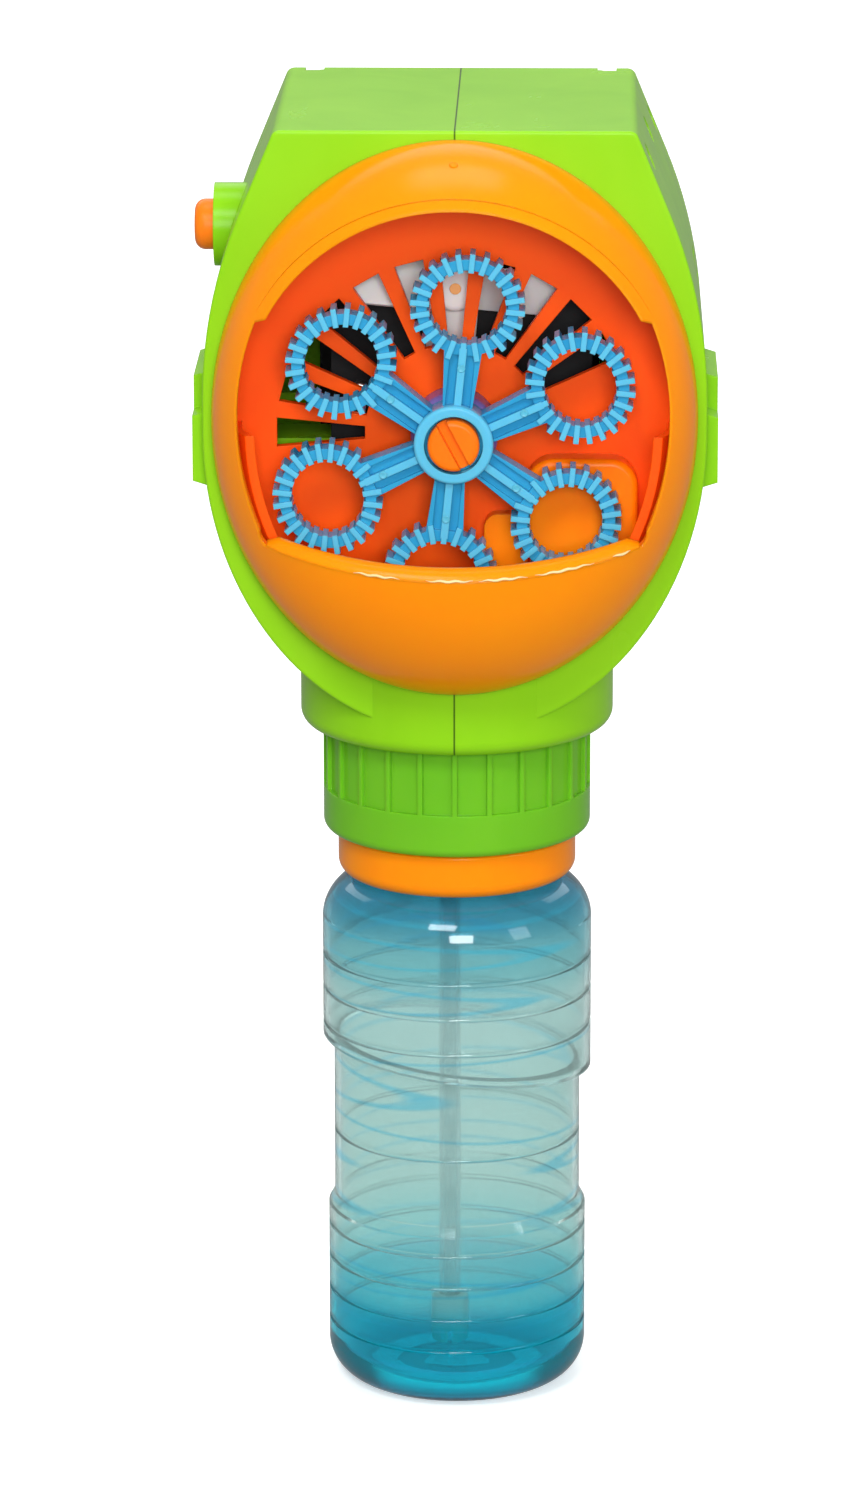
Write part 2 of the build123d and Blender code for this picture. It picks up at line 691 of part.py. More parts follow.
with BuildPart() as gear_pins:
    with BuildSketch(at_y(PLATE_REAR_Y + PLATE_T)):
        with Locations((G1_X, G1_Z), (G2_X, G2_Z)):
            Circle(PIN_R)
    extrude(amount=PLATE_REAR_Y - PLATE_FRONT_Y + PLATE_T)
save(gear_pins, "gear_pins")


def pan_screw(length, head_r, shank_r):
    """Cross-recessed pan-head screw: head under the XY plane's far side, shank along +Z."""
    with BuildPart() as screw:
        with BuildSketch(Plane.XY):
            Circle(head_r)
        extrude(amount=-head_r * 0.7)
        fillet(screw.edges().filter_by(GeomType.CIRCLE).group_by(Axis.Z)[0], head_r * 0.35)
        with BuildSketch(Plane.XY.offset(-head_r * 0.7)):
            Rectangle(head_r * 1.1, head_r * 0.28)
            Rectangle(head_r * 0.28, head_r * 1.1)
        extrude(amount=head_r * 0.4, mode=Mode.SUBTRACT)
        with BuildSketch(Plane.XY):
            Circle(shank_r)
        extrude(amount=length)
    return screw


plate_screw = pan_screw(7.0, 1.9, 0.8)
with BuildPart() as gearbox_screws:
    with Locations(*[Location((x, PLATE_FRONT_Y, z), (-90, 0, 0)) for x, z in POSTS]):
        add(plate_screw.part)
save(gearbox_screws, "gearbox_screws")

# ---------------------------------------------------------------- motor and fan

MOTOR_R = 10.05
MOTOR_FLAT = 15.1
MOTOR_FRONT_Y = PLATE_REAR_Y + PLATE_T
MOTOR_REAR_Y = MOTOR_FRONT_Y + 23.4
CAP_T = 4.0
SHAFT_FRONT_Y = -17.2


def motor_section(inset):
    """Round motor section with flats above and below."""
    with Locations((MOTOR_X, MOTOR_Z)):
        Circle(MOTOR_R - inset)
        Rectangle(2 * MOTOR_R + 2, MOTOR_FLAT - 2 * inset, mode=Mode.INTERSECT)


with BuildPart() as motor_can:
    with BuildSketch(at_y(MOTOR_REAR_Y - CAP_T)):
        motor_section(0)
    extrude(amount=MOTOR_REAR_Y - CAP_T - MOTOR_FRONT_Y)
    with BuildSketch(at_y(MOTOR_REAR_Y - CAP_T)):
        motor_section(0.8)
    extrude(amount=MOTOR_REAR_Y - CAP_T - MOTOR_FRONT_Y - 0.8, mode=Mode.SUBTRACT)
    # Bearing boss that centres the motor in the gearbox plate
    with BuildSketch(at_y(MOTOR_FRONT_Y)):
        with Locations((MOTOR_X, MOTOR_Z)):
            Circle(3.0)
    extrude(amount=1.4)
    with BuildSketch(at_y(MOTOR_FRONT_Y + 2)):
        with Locations((MOTOR_X, MOTOR_Z)):
            Circle(PIN_R + FIT)
        with Locations((MOTOR_X - 7, MOTOR_Z), (MOTOR_X + 7, MOTOR_Z)):
            Circle(0.8)
    extrude(amount=5, mode=Mode.SUBTRACT)
save(motor_can, "motor_can")

with BuildPart() as motor_end_cap:
    with BuildSketch(at_y(MOTOR_REAR_Y)):
        motor_section(0)
    extrude(amount=CAP_T)
    with BuildSketch(at_y(MOTOR_REAR_Y - 1.4)):
        motor_section(1.2)
    extrude(amount=CAP_T, mode=Mode.SUBTRACT)
    with BuildSketch(at_y(MOTOR_REAR_Y - 0.5)):
        with Locations((MOTOR_X, MOTOR_Z)):
            Circle(PIN_R + FIT)
    extrude(amount=CAP_T, mode=Mode.SUBTRACT)
    # Two terminals
    with BuildSketch(at_y(MOTOR_REAR_Y + 1.2)):
        with Locations((MOTOR_X - 6.5, MOTOR_Z), (MOTOR_X + 6.5, MOTOR_Z)):
            Rectangle(0.5, 2.4)
    extrude(amount=1.8)
save(motor_end_cap, "motor_end_cap")

with BuildPart() as motor_magnets:
    with BuildSketch(at_y(MOTOR_REAR_Y - CAP_T - 2)):
        with Locations((MOTOR_X, MOTOR_Z)):
            Circle(MOTOR_R - 0.9)
            Circle(MOTOR_R - 3.0, mode=Mode.SUBTRACT)
            Rectangle(2 * MOTOR_R + 2, 11.5, mode=Mode.INTERSECT)
    extrude(amount=15)
save(motor_magnets, "motor_magnets")

with BuildPart() as motor_armature:
    with BuildSketch(at_y(MOTOR_REAR_Y - CAP_T - 3)):
        with Locations((MOTOR_X, MOTOR_Z)):
            Circle(6.4)
            with PolarLocations(5.0, 3):
                Rectangle(4.4, 1.0, mode=Mode.SUBTRACT)
            with PolarLocations(3.6, 3):
                Rectangle(1.6, 3.4, mode=Mode.SUBTRACT)
    extrude(amount=13)
    # Commutator
    with BuildSketch(at_y(MOTOR_REAR_Y - 1.8)):
        with Locations((MOTOR_X, MOTOR_Z)):
            Circle(2.2)
    extrude(amount=CAP_T + 1.4)
    # Shaft, through the gearbox to the fan
    with BuildSketch(at_y(MOTOR_REAR_Y - 0.7)):
        with Locations((MOTOR_X, MOTOR_Z)):
            Circle(PIN_R)
    extrude(amount=MOTOR_REAR_Y - 0.7 - SHAFT_FRONT_Y)
save(motor_armature, "motor_armature")

FAN_REAR_Y = -11.6
FAN_T = FAN_REAR_Y - SHAFT_FRONT_Y
FAN_R = 18.5
FAN_BLADES = 4
FAN_TURN = 5.0

with BuildPart() as fan:
    with BuildSketch(at_y(FAN_REAR_Y)):
        with Locations((MOTOR_X, MOTOR_Z)):
            Circle(4.2)
    extrude(amount=FAN_T)
    fillet(fan.edges().filter_by(GeomType.CIRCLE).group_by(Axis.Y)[0], 1.2)
    middle_y = FAN_REAR_Y - FAN_T / 2
    blade_angles = [FAN_TURN + 360.0 * index / FAN_BLADES for index in range(FAN_BLADES)]
    with Locations(*[Location((MOTOR_X, middle_y, MOTOR_Z), (0, turn, 0)) for turn in blade_angles]):
        with Locations(Location(((FAN_R + 3.4) / 2, 0, 0), (32, 0, 0))):
            Box(FAN_R - 3.4, 0.9, 9.6)
    # Trim the pitched blades to the fan's disc
    with BuildSketch(at_y(FAN_REAR_Y)):
        with Locations((MOTOR_X, MOTOR_Z)):
            Circle(FAN_R)
    extrude(amount=FAN_T, mode=Mode.INTERSECT)
    with BuildSketch(at_y(FAN_REAR_Y)):
        with Locations((MOTOR_X, MOTOR_Z)):
            Circle(PIN_R)
    extrude(amount=FAN_T, mode=Mode.SUBTRACT)
save(fan, "fan")

motor_screw = pan_screw(2.4, 1.5, 0.8)
with BuildPart() as motor_screws:
    for side in (-7, 7):
        with Locations(Location((MOTOR_X + side, PLATE_REAR_Y + 1.1, MOTOR_Z), (-90, 0, 0))):
            add(motor_screw.part)
save(motor_screws, "motor_screws")

# ---------------------------------------------------------------- hose pump

ROTOR_MID_Y = ROTOR_Y + ROTOR_T / 2
FLANGE_T = 1.0

with BuildPart() as pump_rotor:
    # Two discs on a shaft, with a pin for each roller
    for disc_y in (ROTOR_Y + FLANGE_T, ROTOR_Y + ROTOR_T):
        with BuildSketch(at_y(disc_y)):
            with Locations((PUMP_X, PUMP_Z)):
                Circle(6.2)
        extrude(amount=FLANGE_T)
    with BuildSketch(at_y(ROTOR_Y + ROTOR_T)):
        with Locations((PUMP_X, PUMP_Z)):
            Circle(1.9)
            with PolarLocations(ROLLER_RADIUS, 3):
                Circle(0.7)
    extrude(amount=ROTOR_T)
    with BuildSketch(at_y(ROTOR_Y + ROTOR_T)):
        with Locations((PUMP_X, PUMP_Z)):
            Circle(PIN_R + 0.2)
    extrude(amount=ROTOR_Y + ROTOR_T - PLATE_FRONT_Y)
save(pump_rotor, "pump_rotor")

for index in range(3):
    place = Location((PUMP_X, PUMP_Z), 120.0 * index)
    with BuildPart() as pump_roller:
        with BuildSketch(at_y(ROTOR_MID_Y + 1.5)):
            with Locations(place):
                with Locations((ROLLER_RADIUS, 0)):
                    Circle(ROLLER_R)
                    Circle(0.7 + FIT, mode=Mode.SUBTRACT)
        extrude(amount=3.0)
    save(pump_roller, f"pump_roller_{index + 1}")

with BuildPart() as pump_cover:
    # Arched wall that backs the hose, closed by a rear plate
    with BuildSketch(at_y(ROTOR_Y + ROTOR_T + 1.9)):
        with Locations((PUMP_X, PUMP_Z)):
            Circle(12.0)
        with Locations((PUMP_X, PUMP_Z - 5)):
            Rectangle(24.0, 10.0)
    extrude(amount=ROTOR_T + 1.9 + ROTOR_Y - MOTOR_FRONT_Y)
    with BuildSketch(at_y(MOTOR_FRONT_Y)):
        with Locations((PUMP_X, PUMP_Z)):
            Circle(HOSE_PATH_R + HOSE_R + 0.1)
        with Locations((PUMP_X, PUMP_Z - 6)):
            Rectangle(2 * (HOSE_PATH_R + HOSE_R + 0.1), 12.0)
    extrude(amount=-(ROTOR_T + ROTOR_Y - MOTOR_FRONT_Y + 0.5), mode=Mode.SUBTRACT)
save(pump_cover, "pump_cover")

# ---------------------------------------------------------------- hoses

HOSE_Y = ROTOR_MID_Y
HOSE_LEFT_X = PUMP_X - HOSE_PATH_R
HOSE_RIGHT_X = PUMP_X + HOSE_PATH_R

with BuildPart() as feed_hose:
    # Up from the socket, over the pump's rollers, round the gearbox and forward to the grille
    with BuildLine() as feed_route:
        up = Line((HOSE_RIGHT_X, HOSE_Y, SOCKET_TOP + 4), (HOSE_RIGHT_X, HOSE_Y, PUMP_Z))
        crown = (PUMP_X, HOSE_Y, PUMP_Z + HOSE_PATH_R)
        over = ThreePointArc(up @ 1, crown, (HOSE_LEFT_X, HOSE_Y, PUMP_Z))
        FilletPolyline(
            over @ 1,
            (HOSE_LEFT_X, HOSE_Y, 147.5),
            (HOSE_LEFT_X, -4.0, 147.5),
            (FEED_X, -4.0, 147.5),
            (FEED_X, -4.0, FEED_Z),
            (FEED_X, GRILLE_Y + GRILLE_T + 4, FEED_Z),
            radius=(4.6, 4.6, 4.6, 4.6),
        )
    with BuildSketch(Plane.XY.offset(SOCKET_TOP + 4)):
        with Locations((HOSE_RIGHT_X, HOSE_Y)):
            Circle(HOSE_R)
            Circle(HOSE_BORE, mode=Mode.SUBTRACT)
    sweep(path=feed_route.line)
save(feed_hose, "feed_hose")

with BuildPart() as drain_hose:
    with BuildLine() as drain_route:
        FilletPolyline(
            (0, GRILLE_Y + GRILLE_T + 4, DRAIN_Z),
            (0, DRAIN_Y, DRAIN_Z),
            (0, DRAIN_Y, SOCKET_TOP + 4),
            radius=2.6,
        )
    with BuildSketch(at_y(GRILLE_Y + GRILLE_T + 4)):
        with Locations((0, DRAIN_Z)):
            Circle(HOSE_R)
            Circle(HOSE_BORE, mode=Mode.SUBTRACT)
    sweep(path=drain_route.line)
save(drain_hose, "drain_hose")

# ---------------------------------------------------------------- head housing

VENTS = (193.0, 197.0, 201.0, 205.0)
HOUSING_BOSSES = ((-13.6, 228.6), (14.0, 228.6), (37.5, 226.5), (18.0, 143.0), (37.0, 140.5))
BAY_HALF_WIDTH = 25.5
BAY_BOTTOM = 157.0
BAY_TOP = 219.2
DOOR_HALF_WIDTH = 29.0
HOOK_X = 26.5
HINGE_Z = 233.4
DOOR_BOTTOM = 146.0
DOOR_TOP = 234.0
DOOR_SCREW_Z = 150.5
PAD_X = 46.0
PAD_BOTTOM = 171.0


def head_outline(y, inset, corner=0.0):
    """Head seen from the front: elliptical bottom, flared sides and flat top, drawn in by inset."""
    flare = radians(FLARE_ANGLE)
    side_r = FLARE_R - inset
    slope = (HEAD_TOP - inset - HEAD_Z - side_r * sin(flare)) / cos(flare)
    with BuildSketch(at_y(y)) as outline:
        with BuildLine():
            half_width, drop = HEAD_HALF_WIDTH - inset, HEAD_DROP - inset
            belly = EllipticalCenterArc((0, BELLY_Z), half_width, drop, 180, arc_size=180)
            right_side = Line(belly @ 1, (half_width, HEAD_Z))
            right = JernArc(right_side @ 1, (0, 1), side_r, FLARE_ANGLE)
            right_top = PolarLine(right @ 1, slope, direction=right % 1)
            left_side = Line(belly @ 0, (-half_width, HEAD_Z))
            left = JernArc(left_side @ 1, (0, 1), side_r, -FLARE_ANGLE)
            left_top = PolarLine(left @ 1, slope, direction=left % 1)
            Line(right_top @ 1, left_top @ 1)
        make_face()
        if corner:
            fillet(outline.vertices().group_by(Axis.Y)[-1], corner)
    return outline.sketch


def across(x):
    """Upright plane facing +X at the given x, Y to the right and Z up."""
    return Plane.YZ.offset(x)


with BuildPart() as head:
    add(head_outline(REAR_Y, 0, corner=1.6))
    extrude(amount=REAR_Y - FRONT_Y, dir=FORWARD)
    fillet(head.faces().sort_by(Axis.Y)[-1].outer_wire().edges(), 1.4)
    fillet(head.faces().sort_by(Axis.Y)[0].outer_wire().edges(), 0.5)
    # Round skirt that shrouds the collar
    with BuildSketch(Plane.XY.offset(SKIRT_BOTTOM)):
        Circle(SKIRT_R)
    extrude(amount=SKIRT_TOP - SKIRT_BOTTOM)
    fillet(head.edges().filter_by(GeomType.CIRCLE).group_by(Axis.Z)[0], 2.6)
    # Side pads: a full-height pad, and a lower one that stands further forward
    for side in (-1, 1):
        for front, top in ((-14.0, 190.6), (-20.0, 184.6)):
            with BuildSketch(at_y(8.0)):
                with BuildLine():
                    Polyline(
                        (side * 38.0, PAD_BOTTOM - 1.5),
                        (side * PAD_X, PAD_BOTTOM + 1.0),
                        (side * PAD_X, top - 1.0),
                        (side * 38.0, top + 1.5),
                        close=True,
                    )
                make_face()
            extrude(amount=8.0 - front, dir=FORWARD)
    # Button boss on the left
    with BuildSketch(across(-43.0)):
        with Locations((BUTTON_Y, BUTTON_Z)):
            Circle(7.4)
    extrude(amount=8.0)
    fillet(head.edges().filter_by(GeomType.CIRCLE).group_by(Axis.X)[0], 1.4)
    # Hollow inside
    add(head_outline(REAR_Y - WALL, WALL))
    extrude(amount=REAR_Y - FRONT_Y - 2 * WALL, dir=FORWARD, mode=Mode.SUBTRACT)
    with BuildSketch(Plane.XY.offset(SKIRT_BOTTOM - 1)):
        Circle(SKIRT_R - 2.4)
    extrude(amount=SKIRT_TOP - SKIRT_BOTTOM, mode=Mode.SUBTRACT)
    # Clamp ring for the bottle socket
    with BuildSketch(Plane.XY.offset(126.8)):
        Circle(SKIRT_R - 2.2)
        Circle(SOCKET_R, mode=Mode.SUBTRACT)
    extrude(amount=2.8)
    # Front opening for the bezel's spigot, with room for its dome
    with BuildSketch(at_y(FRONT_Y + 6)):
        with Locations((0, DOME_Z)):
            Ellipse(DOME_A - 1.6, DOME_B - 1.6)
    extrude(amount=8, mode=Mode.SUBTRACT)
    add(dome_outside.part, mode=Mode.SUBTRACT)
    # Battery bay opening in the rear wall, closed by the door
    with BuildSketch(at_y(REAR_Y)):
        with Locations((0, (BAY_BOTTOM + BAY_TOP) / 2)):
            Rectangle(2 * BAY_HALF_WIDTH, BAY_TOP - BAY_BOTTOM)
        with Locations((0, DOOR_SCREW_Z)):
            Circle(2.4)
    extrude(amount=WALL, mode=Mode.SUBTRACT)
    # Notches for the door's two hooks
    with BuildSketch(Plane.XY.offset(HEAD_TOP - 6.5)):
        with Locations((-HOOK_X, REAR_Y - 2.0), (HOOK_X, REAR_Y - 2.0)):
            Rectangle(3.4, 4.2)
    extrude(amount=8, mode=Mode.SUBTRACT)
    # Air intake slots in both sides
    with BuildSketch(across(0)):
        with Locations(*[(18.0, z) for z in VENTS]):
            SlotOverall(14.0, 1.8)
    extrude(amount=50, both=True, mode=Mode.SUBTRACT)
    # Button hole through its boss
    with BuildSketch(across(-50.0)):
        with Locations((BUTTON_Y, BUTTON_Z)):
            Circle(BUTTON_R + FIT)
    extrude(amount=16, mode=Mode.SUBTRACT)

with BuildPart() as boss_columns:
    with BuildSketch(across(0)):
        with Locations(*HOUSING_BOSSES):
            Circle(3.0)
    extrude(amount=50, both=True)
    add(head_outline(REAR_Y - 1, WALL / 2))
    extrude(amount=REAR_Y - FRONT_Y - 2, dir=FORWARD, mode=Mode.INTERSECT)
    with BuildSketch(across(0)):
        with Locations(*HOUSING_BOSSES):
            Circle(1.0)
    extrude(amount=12, both=True, mode=Mode.SUBTRACT)

with BuildPart() as inner_ribs:
    # Ribs that locate the gearbox and the battery box between the two shells
    for rib_z in (176.0, 203.0):
        with BuildSketch(Plane.XY.offset(rib_z)):
            with Locations((0, (PLATE_FRONT_Y + MOTOR_FRONT_Y) / 2)):
                Rectangle(90, MOTOR_FRONT_Y - PLATE_FRONT_Y)
            with Locations((0, (BOX_FRONT_Y + REAR_Y) / 2)):
                Rectangle(90, REAR_Y - BOX_FRONT_Y - 2)
            with Locations((1.0, (PLATE_FRONT_Y + MOTOR_FRONT_Y) / 2)):
                Rectangle(46.2, 20, mode=Mode.SUBTRACT)
            with Locations((0, (BOX_FRONT_Y + REAR_Y) / 2)):
                Rectangle(2 * BAY_HALF_WIDTH, 30, mode=Mode.SUBTRACT)
        extrude(amount=1.5)
    add(head_outline(REAR_Y - 1, WALL / 2))
    extrude(amount=REAR_Y - FRONT_Y - 2, dir=FORWARD, mode=Mode.INTERSECT)


def housing_half(keep, screw_r, recess):
    """One moulded half of the head, with its own ends of the screw columns."""
    with BuildPart() as half:
        add(head.part)
        add(boss_columns.part)
        add(inner_ribs.part)
        split(bisect_by=Plane.YZ, keep=keep)
        with BuildSketch(across(0)):
            with Locations(*HOUSING_BOSSES):
                Circle(screw_r)
        extrude(amount=12 if keep == Keep.TOP else -12, mode=Mode.SUBTRACT)
        if recess:
            with BuildSketch(across(8.0)):
                with Locations(*HOUSING_BOSSES):
                    Circle(2.3)
            extrude(amount=50, mode=Mode.SUBTRACT)
    return half


housing_right = housing_half(Keep.TOP, 1.3, True)
save(housing_right, "housing_right")
housing_left = housing_half(Keep.BOTTOM, 1.0, False)
save(housing_left, "housing_left")

shell_screw = pan_screw(17.0, 2.1, 1.0)
with BuildPart() as housing_screws:
    with Locations(*[Location((8.0, y, z), (0, -90, 0)) for y, z in HOUSING_BOSSES]):
        add(shell_screw.part)
save(housing_screws, "housing_screws")

# ---------------------------------------------------------------- battery box and contacts

CELL_X = [-CELL_PITCH, 0.0, CELL_PITCH]
BOX_FLOOR = BAY_BOTTOM + 1.5
BOX_CEILING = CELL_BOTTOM + CELL_LENGTH + (CELL_BOTTOM - BOX_FLOOR)
BOX_REAR_Y = REAR_Y - WALL

with BuildPart() as battery_box:
    with BuildSketch(at_y(BOX_REAR_Y)):
        with Locations((0, (BAY_BOTTOM + BOX_CEILING + 1.5) / 2)):
            Rectangle(2 * BAY_HALF_WIDTH - 0.4, BOX_CEILING + 1.5 - BAY_BOTTOM)
    extrude(amount=BOX_REAR_Y - BOX_FRONT_Y)
    with BuildSketch(at_y(BOX_REAR_Y)):
        with Locations((0, (BOX_FLOOR + BOX_CEILING) / 2)):
            Rectangle(2 * BAY_HALF_WIDTH - 3.4, BOX_CEILING - BOX_FLOOR)
    extrude(amount=BOX_REAR_Y - BOX_FRONT_Y - 1.4, mode=Mode.SUBTRACT)
    # Low ribs between the cells
    with BuildSketch(at_y(BOX_FRONT_Y + 4.4)):
        with Locations(*[(x, (BOX_FLOOR + BOX_CEILING) / 2) for x in (-CELL_PITCH / 2, CELL_PITCH / 2)]):
            Rectangle(0.7, BOX_CEILING - BOX_FLOOR)
    extrude(amount=3.0)
    # Boss for the door's screw below the bay
    with BuildSketch(at_y(BOX_REAR_Y)):
        with Locations((0, DOOR_SCREW_Z)):
            Circle(3.4)
        with Locations((0, (DOOR_SCREW_Z + BAY_BOTTOM) / 2)):
            Rectangle(4.0, BAY_BOTTOM - DOOR_SCREW_Z + 1)
        with Locations((0, DOOR_SCREW_Z)):
            Circle(1.5, mode=Mode.SUBTRACT)
    extrude(amount=8.0)
save(battery_box, "battery_box")

PLATE = 0.4

with BuildPart() as contact_plates:
    # Flat plates at both ends, with a raised dimple under each cell's cap
    for x, cap_up in zip(CELL_X, (True, False, True)):
        for end_z, up in ((BOX_FLOOR, True), (BOX_CEILING, False)):
            way = 1 if up else -1
            with BuildSketch(Plane.XY.offset(end_z)):
                with Locations((x, CELL_Y)):
                    Rectangle(11.0, 9.0)
            extrude(amount=way * PLATE)
            if up != cap_up:
                with BuildSketch(Plane.XY.offset(end_z + way * PLATE)):
                    with Locations((x, CELL_Y)):
                        Circle(2.6)
                extrude(amount=way * (CELL_BOTTOM - BOX_FLOOR - PLATE), taper=12)
save(contact_plates, "contact_plates")

SPRING_WIRE = 0.35
SPRING_SPACE = CELL_BOTTOM - BOX_FLOOR - PLATE

with BuildPart() as one_spring:
    with BuildLine():
        rise = SPRING_SPACE - 2 * SPRING_WIRE
        coil = Helix(rise / 3, rise, 3.2, center=(0, 0, SPRING_WIRE))
    with BuildSketch(Plane(origin=coil @ 0, z_dir=coil % 0)):
        Circle(SPRING_WIRE)
    sweep(path=coil, is_frenet=True)

with BuildPart() as cell_springs:
    with Locations(
        Location((CELL_X[0], CELL_Y, BOX_FLOOR + PLATE)),
        Location((CELL_X[1], CELL_Y, BOX_CEILING - PLATE), (180, 0, 0)),
        Location((CELL_X[2], CELL_Y, BOX_FLOOR + PLATE)),
    ):
        add(one_spring.part)
save(cell_springs, "cell_springs")

# ---------------------------------------------------------------- battery door

DOOR_T = 2.2
DOOR_Y = REAR_Y + 0.3

with BuildPart() as battery_door:
    with BuildSketch(at_y(DOOR_Y + DOOR_T)):
        with Locations((0, (DOOR_BOTTOM + DOOR_TOP) / 2)):
            RectangleRounded(2 * DOOR_HALF_WIDTH, DOOR_TOP - DOOR_BOTTOM, 4.0)
        with Locations((0, DOOR_SCREW_Z)):
            Circle(1.3, mode=Mode.SUBTRACT)
    extrude(amount=DOOR_T)
    fillet(battery_door.faces().sort_by(Axis.Y)[-1].outer_wire().edges(), 1.2)
    # Grip ridges
    with BuildSketch(at_y(DOOR_Y + DOOR_T + 0.6)):
        with Locations(*[(0, z) for z in (205.0, 209.0, 213.0, 217.0)]):
            SlotOverall(26.0, 1.6)
    extrude(amount=1.0)
    # Hooks at the top
    with BuildSketch(Plane.YZ.offset(-HOOK_X - 1.2)):
        with BuildLine():
            Polyline(
                (DOOR_Y, HINGE_Z + 0.5),
                (REAR_Y - 3.0, HINGE_Z + 0.5),
                (REAR_Y - 3.0, HINGE_Z - 2.6),
                (REAR_Y - 2.2, HINGE_Z - 2.6),
                (REAR_Y - 2.2, HINGE_Z - 0.7),
                (DOOR_Y, HINGE_Z - 0.7),
                close=True,
            )
        make_face()
    extrude(amount=2.4)
    mirror(about=Plane.YZ)
    # Seat for the screw's head
    with BuildSketch(at_y(DOOR_Y + DOOR_T)):
        with Locations((0, DOOR_SCREW_Z)):
            Circle(2.3)
    extrude(amount=1.3, mode=Mode.SUBTRACT)
save(battery_door, "battery_door")

door_screw_form = pan_screw(6.0, 1.7, 1.1)
with BuildPart() as door_screw:
    with Locations(Location((0, DOOR_Y + DOOR_T - 1.3, DOOR_SCREW_Z), (90, 0, 0))):
        add(door_screw_form.part)
save(door_screw, "door_screw")

# ---------------------------------------------------------------- button and switch

BUTTON_FACE_X = -46.5
FLANGE_X = -34.4
SWITCH_X = -28.6
TERMINAL_GAP = 2.5
TERMINAL_LENGTH = 2.6

with BuildPart() as power_button:
    with BuildSketch(across(BUTTON_FACE_X)):
        with Locations((BUTTON_Y, BUTTON_Z)):
            Circle(BUTTON_R)
    extrude(amount=FLANGE_X - BUTTON_FACE_X)
    fillet(power_button.edges().filter_by(GeomType.CIRCLE).group_by(Axis.X)[0], 1.9)
    # Flange that stops the button inside the shell, and the stem that presses the switch
    with BuildSketch(across(FLANGE_X)):
        with Locations((BUTTON_Y, BUTTON_Z)):
            Circle(BUTTON_R + 1.2)
    extrude(amount=-1.0)
    with BuildSketch(across(FLANGE_X)):
        with Locations((BUTTON_Y, BUTTON_Z)):
            Circle(1.4)
    extrude(amount=SWITCH_X - FLANGE_X - 0.6 - BUTTON_TRAVEL)
save(power_button, "power_button")

with BuildPart() as button_spring:
    with BuildLine():
        rise = SWITCH_X - FLANGE_X - 2 * SPRING_WIRE - 0.1
        button_coil = Helix(1.3, rise, 2.6, center=(0, 0, SPRING_WIRE + 0.05))
    with BuildSketch(Plane(origin=button_coil @ 0, z_dir=button_coil % 0)):
        Circle(SPRING_WIRE)
    sweep(path=button_coil, is_frenet=True)
with BuildPart() as placed_button_spring:
    with Locations(Location((FLANGE_X, BUTTON_Y, BUTTON_Z), (0, 90, 0))):
        add(button_spring.part)
save(placed_button_spring, "button_spring")

with BuildPart() as power_switch:
    with Locations((SWITCH_X + 3.0, BUTTON_Y, BUTTON_Z)):
        Box(6.0, 10.0, 8.0)
    with BuildSketch(across(SWITCH_X)):
        with Locations((BUTTON_Y, BUTTON_Z)):
            Circle(1.2)
    extrude(amount=-0.3)
    # Terminals, one above the other
    with BuildSketch(across(SWITCH_X + 6.0)):
        with Locations(*[(BUTTON_Y, BUTTON_Z + offset) for offset in (-TERMINAL_GAP, TERMINAL_GAP)]):
            Rectangle(1.6, 0.5)
    extrude(amount=TERMINAL_LENGTH)
save(power_switch, "power_switch")

# ---------------------------------------------------------------- wires

WIRE_R = 0.6
TERMINAL_X = SWITCH_X + 6.0 + TERMINAL_LENGTH
MOTOR_WIRE_Y = MOTOR_REAR_Y + 0.7
BOX_TOP = BOX_CEILING + 1.5


def wire(name, route, bend):
    """Insulated wire along a route of straight runs joined by tangent arcs."""
    with BuildPart() as lead:
        with BuildLine() as path:
            FilletPolyline(*route, radius=bend)
        with BuildSketch(Plane(origin=path.line @ 0, z_dir=path.line % 0)):
            Circle(WIRE_R)
        sweep(path=path.line)
    save(lead, name)


wire(
    "wire_battery_switch",
    (
        (TERMINAL_X, BUTTON_Y, BUTTON_Z + TERMINAL_GAP),
        (-15.5, BUTTON_Y, BUTTON_Z + TERMINAL_GAP),
        (-15.5, BOX_FRONT_Y, BUTTON_Z + TERMINAL_GAP),
    ),
    3.0,
)
wire(
    "wire_switch_motor",
    (
        (TERMINAL_X, BUTTON_Y, BUTTON_Z - TERMINAL_GAP),
        (-13.4, BUTTON_Y, BUTTON_Z - TERMINAL_GAP),
        (-13.4, MOTOR_WIRE_Y, MOTOR_Z),
        (MOTOR_X - 6.75, MOTOR_WIRE_Y, MOTOR_Z),
    ),
    (3.0, 2.6),
)
wire(
    "wire_battery_motor",
    (
        (MOTOR_X + 6.75, MOTOR_WIRE_Y, MOTOR_Z),
        (13.5, MOTOR_WIRE_Y, MOTOR_Z),
        (13.5, MOTOR_WIRE_Y, BOX_TOP + 3.0),
        (13.5, 31.5, BOX_TOP + 3.0),
        (13.5, 31.5, BOX_TOP),
    ),
    (3.0, 2.2, 2.2),
)
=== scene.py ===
from math import cos, pi, radians, sin, sqrt

